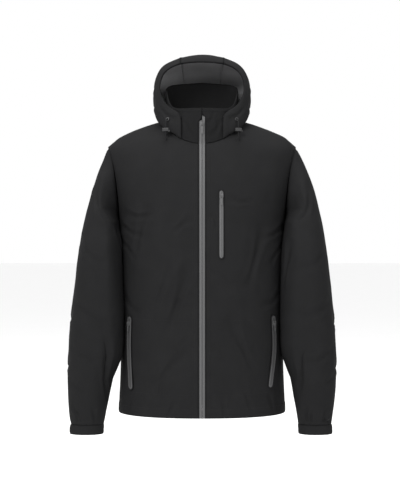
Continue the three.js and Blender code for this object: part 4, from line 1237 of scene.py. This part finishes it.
def make_pocket_zips():
    """Round-ended zips in windows cut in the fronts, each with a bonded lip of shell cloth round it."""
    for name in ("chest_zip", "pocket_zip_left", "pocket_zip_right"):
        sheet = outer_face(name, STRIP_WALL, frontness)
        obj = smooth_sheet(name + CLOTH_END, sheet, SHELL_LEVELS, ROUND_END_TURN)
        edges = edges_of(obj)
        points = coordinates(obj.data)
        gap = edge_distances(points, edges)
        inner = np.clip((gap - STRIP_FLAT) / (STRIP_HALF - STRIP_FLAT), 0, 1)
        points[:, 1] += STRIP_SINK - STRIP_SWELL * np.sin(inner * math.pi / 2)
        set_coordinates(obj.data, points)
        keep_seam_gap(obj, gap)
        thicken(obj, STRIP_WALL)
        dress(obj, finish("strip"), "zip_tape", name)
        rim = [Vector(p) - Vector(o) * LIP_SINK - Vector(i) * LIP_REACH
               for edge in edges for p, o, i in zip(edge.points[:-1], edge.outs, edge.inwards)]
        dress(tube(f"{name}_lip", rim, LIP_RADIUS, closed=True), finish("shell"), "shell")


def make_sliders():
    """Sliders and pull tabs with their cast edges rounded."""
    for place, hand in (("zip", ""), ("chest", ""), ("pocket", "_left"), ("pocket", "_right")):
        slider, pull = f"{place}_slider{hand}", f"{place}_pull{hand}"
        dress(rounded_copy(f"{slider}_cast", slider, SLIDER_ROUND), finish("metal"), "zip_metal", slider)
        dress(rounded_copy(f"{pull}_tab_cast", pull, PULL_ROUND), finish("metal"), "zip_metal", pull,
              body=f"{pull}_tab")


def make_stage():
    """Pale floor, plain light and the camera at the photograph's height."""
    stage = bpy.context.scene.jacket_stage
    scene = bpy.context.scene
    camera_data = bpy.data.cameras.new("camera")
    camera_data.lens = stage.lens
    camera = new_object("camera", camera_data)
    camera.location = (stage.camera_side, -stage.camera_distance, stage.camera_height)
    camera.rotation_euler = (math.pi / 2, 0, 0)
    scene.camera = camera
    bm = bmesh.new()
    bmesh.ops.create_grid(bm, x_segments=1, y_segments=1, size=60)
    floor = object_from("floor", bm, smooth=False)
    floor.location.z = stage.floor_height
    pale = Nodes("pale floor")
    grain = pale.noise(3, 2.0)
    floor.data.materials.append(pale.finish(pale.shade(stage.floor_colour, 0.01, grain), 0.9,
                                            pale.bump(grain, 0.1 * MM, 0.1)))
    world = bpy.data.worlds.new("studio")
    world.use_nodes = True
    background = world.node_tree.nodes["Background"]
    background.inputs["Color"].default_value = (1, 1, 1, 1)
    background.inputs["Strength"].default_value = stage.world_strength
    scene.world = world
    scene.view_settings.view_transform = "Standard"
    for name, place, size, power in (("key", (-1.5, -2.6, 1.9), 1.8, stage.key_power),
                                     ("fill", (2.0, -2.4, 0.2), 1.6, stage.fill_power),
                                     ("top", (0.1, -0.1, 2.2), 1.2, stage.top_power)):
        light = bpy.data.lights.new(name, "AREA")
        light.size = size
        light.energy = power
        lamp = new_object(name, light)
        lamp.location = place
        lamp.rotation_euler = (Vector((0, 0, -0.3)) - Vector(place)).to_track_quat("-Z", "Y").to_euler()


# Settings


def colour(name, description, default):
    return bpy.props.FloatVectorProperty(name=name, description=description, subtype="COLOR", min=0, max=1,
                                         default=default)


def measure(name, description, default, unit="LENGTH"):
    return bpy.props.FloatProperty(name=name, description=description, unit=unit, default=default)


class JacketClothSettings(bpy.types.PropertyGroup):
    """Colours and creases of the jacket's cloth."""

    shell_colour: colour("Shell", "Colour of the softshell", (0.0082, 0.0082, 0.0085))
    fleece_colour: colour("Fleece", "Colour of the fleece in the collar", (0.0085, 0.0085, 0.0087))
    lining_colour: colour("Hood lining", "Colour of the lining in the hood", (0.2, 0.2, 0.204))
    thread_colour: colour("Thread", "Colour of the sewing thread", (0.016, 0.016, 0.0164))
    crease_depth: bpy.props.FloatProperty(
        name="Crease depth", description="How deep the creases are, as a share of their drawn depth",
        subtype="FACTOR", min=0, max=2, default=1.35)


class JacketTrimSettings(bpy.types.PropertyGroup):
    """Sizes and colours of the thread, zips and cords."""

    stitch_length: measure("Stitch length", "From one stitch to the next", 3.2 * MM)
    thread_width: measure("Thread width", "Thickness of the thread", 0.75 * MM)
    tooth_pitch: measure("Tooth pitch", "From one zip tooth to the next", 1.9 * MM)
    tape_colour: colour("Zip tape", "Colour of the zip tapes", (0.05, 0.05, 0.051))
    coil_colour: colour("Zip coil", "Colour of the zip's teeth", (0.12, 0.12, 0.122))
    metal_colour: colour("Sliders", "Colour of the sliders and pull tabs", (0.055, 0.055, 0.056))
    lock_colour: colour("Cord locks", "Colour of the cord locks and eyelets", (0.02, 0.02, 0.0205))
    cord_colour: colour("Cord", "Colour of the hood's cord", (0.011, 0.011, 0.0115))


class JacketStageSettings(bpy.types.PropertyGroup):
    """Camera, floor and lights."""

    camera_distance: measure("Camera distance", "From the shoulder line to the camera", 3.1)
    camera_side: measure("Camera side", "Camera's place to the right", -0.005)
    camera_height: measure("Camera height", "Camera's height over the shoulders", -0.325)
    lens: measure("Lens", "Focal length in millimetres", 89.3, "NONE")
    floor_height: measure("Floor", "Height of the floor over the shoulders", -1.0)
    floor_colour: colour("Floor colour", "Colour of the floor", (0.93, 0.93, 0.93))
    world_strength: measure("Surroundings", "Brightness all round", 1.0, "NONE")
    key_power: measure("Key light", "Power of the main light", 170, "POWER")
    fill_power: measure("Fill light", "Power of the light opposite", 24, "POWER")
    top_power: measure("Top light", "Power of the light above", 60, "POWER")


# Operators


class JACKET_OT_stage(bpy.types.Operator):
    """Camera, floor and lights"""

    bl_idname = "jacket.stage"
    bl_label = "Stage"

    def execute(self, context):
        make_stage()
        return {"FINISHED"}


class JACKET_OT_cords(bpy.types.Operator):
    """Both ends of the hood's drawcord with their eyelets, locks and knots"""

    bl_idname = "jacket.cords"
    bl_label = "Drawcords"

    def execute(self, context):
        make_cord("left", 1)
        make_cord("right", -1)
        return {"FINISHED"}


class JACKET_OT_body(bpy.types.Operator):
    """Front panels and back"""

    bl_idname = "jacket.body"
    bl_label = "Fronts and back"

    def execute(self, context):
        for obj in (make_front("left", 1), make_front("right", -1), make_back()):
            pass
        return {"FINISHED"}


class JACKET_OT_sleeves(bpy.types.Operator):
    """Sleeves and cuffs"""

    bl_idname = "jacket.sleeves"
    bl_label = "Sleeves"

    def execute(self, context):
        for hand, side in (("left", 1), ("right", -1)):
            for obj in make_sleeve(hand, side):
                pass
        return {"FINISHED"}


class JACKET_OT_collar(bpy.types.Operator):
    """Collar and its fleece"""

    bl_idname = "jacket.collar"
    bl_label = "Collar"

    def execute(self, context):
        for obj in make_collar():
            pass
        return {"FINISHED"}


class JACKET_OT_hood(bpy.types.Operator):
    """Hood panels, facing and lining"""

    bl_idname = "jacket.hood"
    bl_label = "Hood"

    def execute(self, context):
        for obj in make_hood():
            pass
        return {"FINISHED"}


class JACKET_OT_zips(bpy.types.Operator):
    """Front zip, pocket zips, sliders and pulls"""

    bl_idname = "jacket.zips"
    bl_label = "Zips"

    def execute(self, context):
        make_front_zip()
        make_pocket_zips()
        make_sliders()
        return {"FINISHED"}


class JACKET_PT_panel(bpy.types.Panel):
    """Buttons and settings of the jacket"""

    bl_idname = "JACKET_PT_panel"
    bl_label = "Softshell Jacket"
    bl_space_type = "VIEW_3D"
    bl_region_type = "UI"
    bl_category = "Jacket"

    def draw(self, context):
        for operator in OPERATORS:
            self.layout.operator(operator.bl_idname)
        for group in (context.scene.jacket_cloth, context.scene.jacket_trim, context.scene.jacket_stage):
            box = self.layout.box()
            for name in group.__annotations__:
                box.prop(group, name)


SETTINGS = {
    "jacket_cloth": JacketClothSettings,
    "jacket_trim": JacketTrimSettings,
    "jacket_stage": JacketStageSettings,
}
OPERATORS = (JACKET_OT_stage, JACKET_OT_cords, JACKET_OT_body, JACKET_OT_sleeves, JACKET_OT_collar,
             JACKET_OT_hood, JACKET_OT_zips)


def register():
    for name, group in SETTINGS.items():
        bpy.utils.register_class(group)
        setattr(bpy.types.Scene, name, bpy.props.PointerProperty(type=group))
    for operator in OPERATORS:
        bpy.utils.register_class(operator)
    bpy.utils.register_class(JACKET_PT_panel)


def unregister():
    bpy.utils.unregister_class(JACKET_PT_panel)
    for operator in reversed(OPERATORS):
        bpy.utils.unregister_class(operator)
    for name, group in SETTINGS.items():
        delattr(bpy.types.Scene, name)
        bpy.utils.unregister_class(group)


def main():
    """Builds the whole jacket."""
    register()
    for operator in (bpy.ops.jacket.stage, bpy.ops.jacket.cords, bpy.ops.jacket.body,
                     bpy.ops.jacket.sleeves, bpy.ops.jacket.collar, bpy.ops.jacket.hood,
                     bpy.ops.jacket.zips):
        operator()


if __name__ == "__main__":
    main()
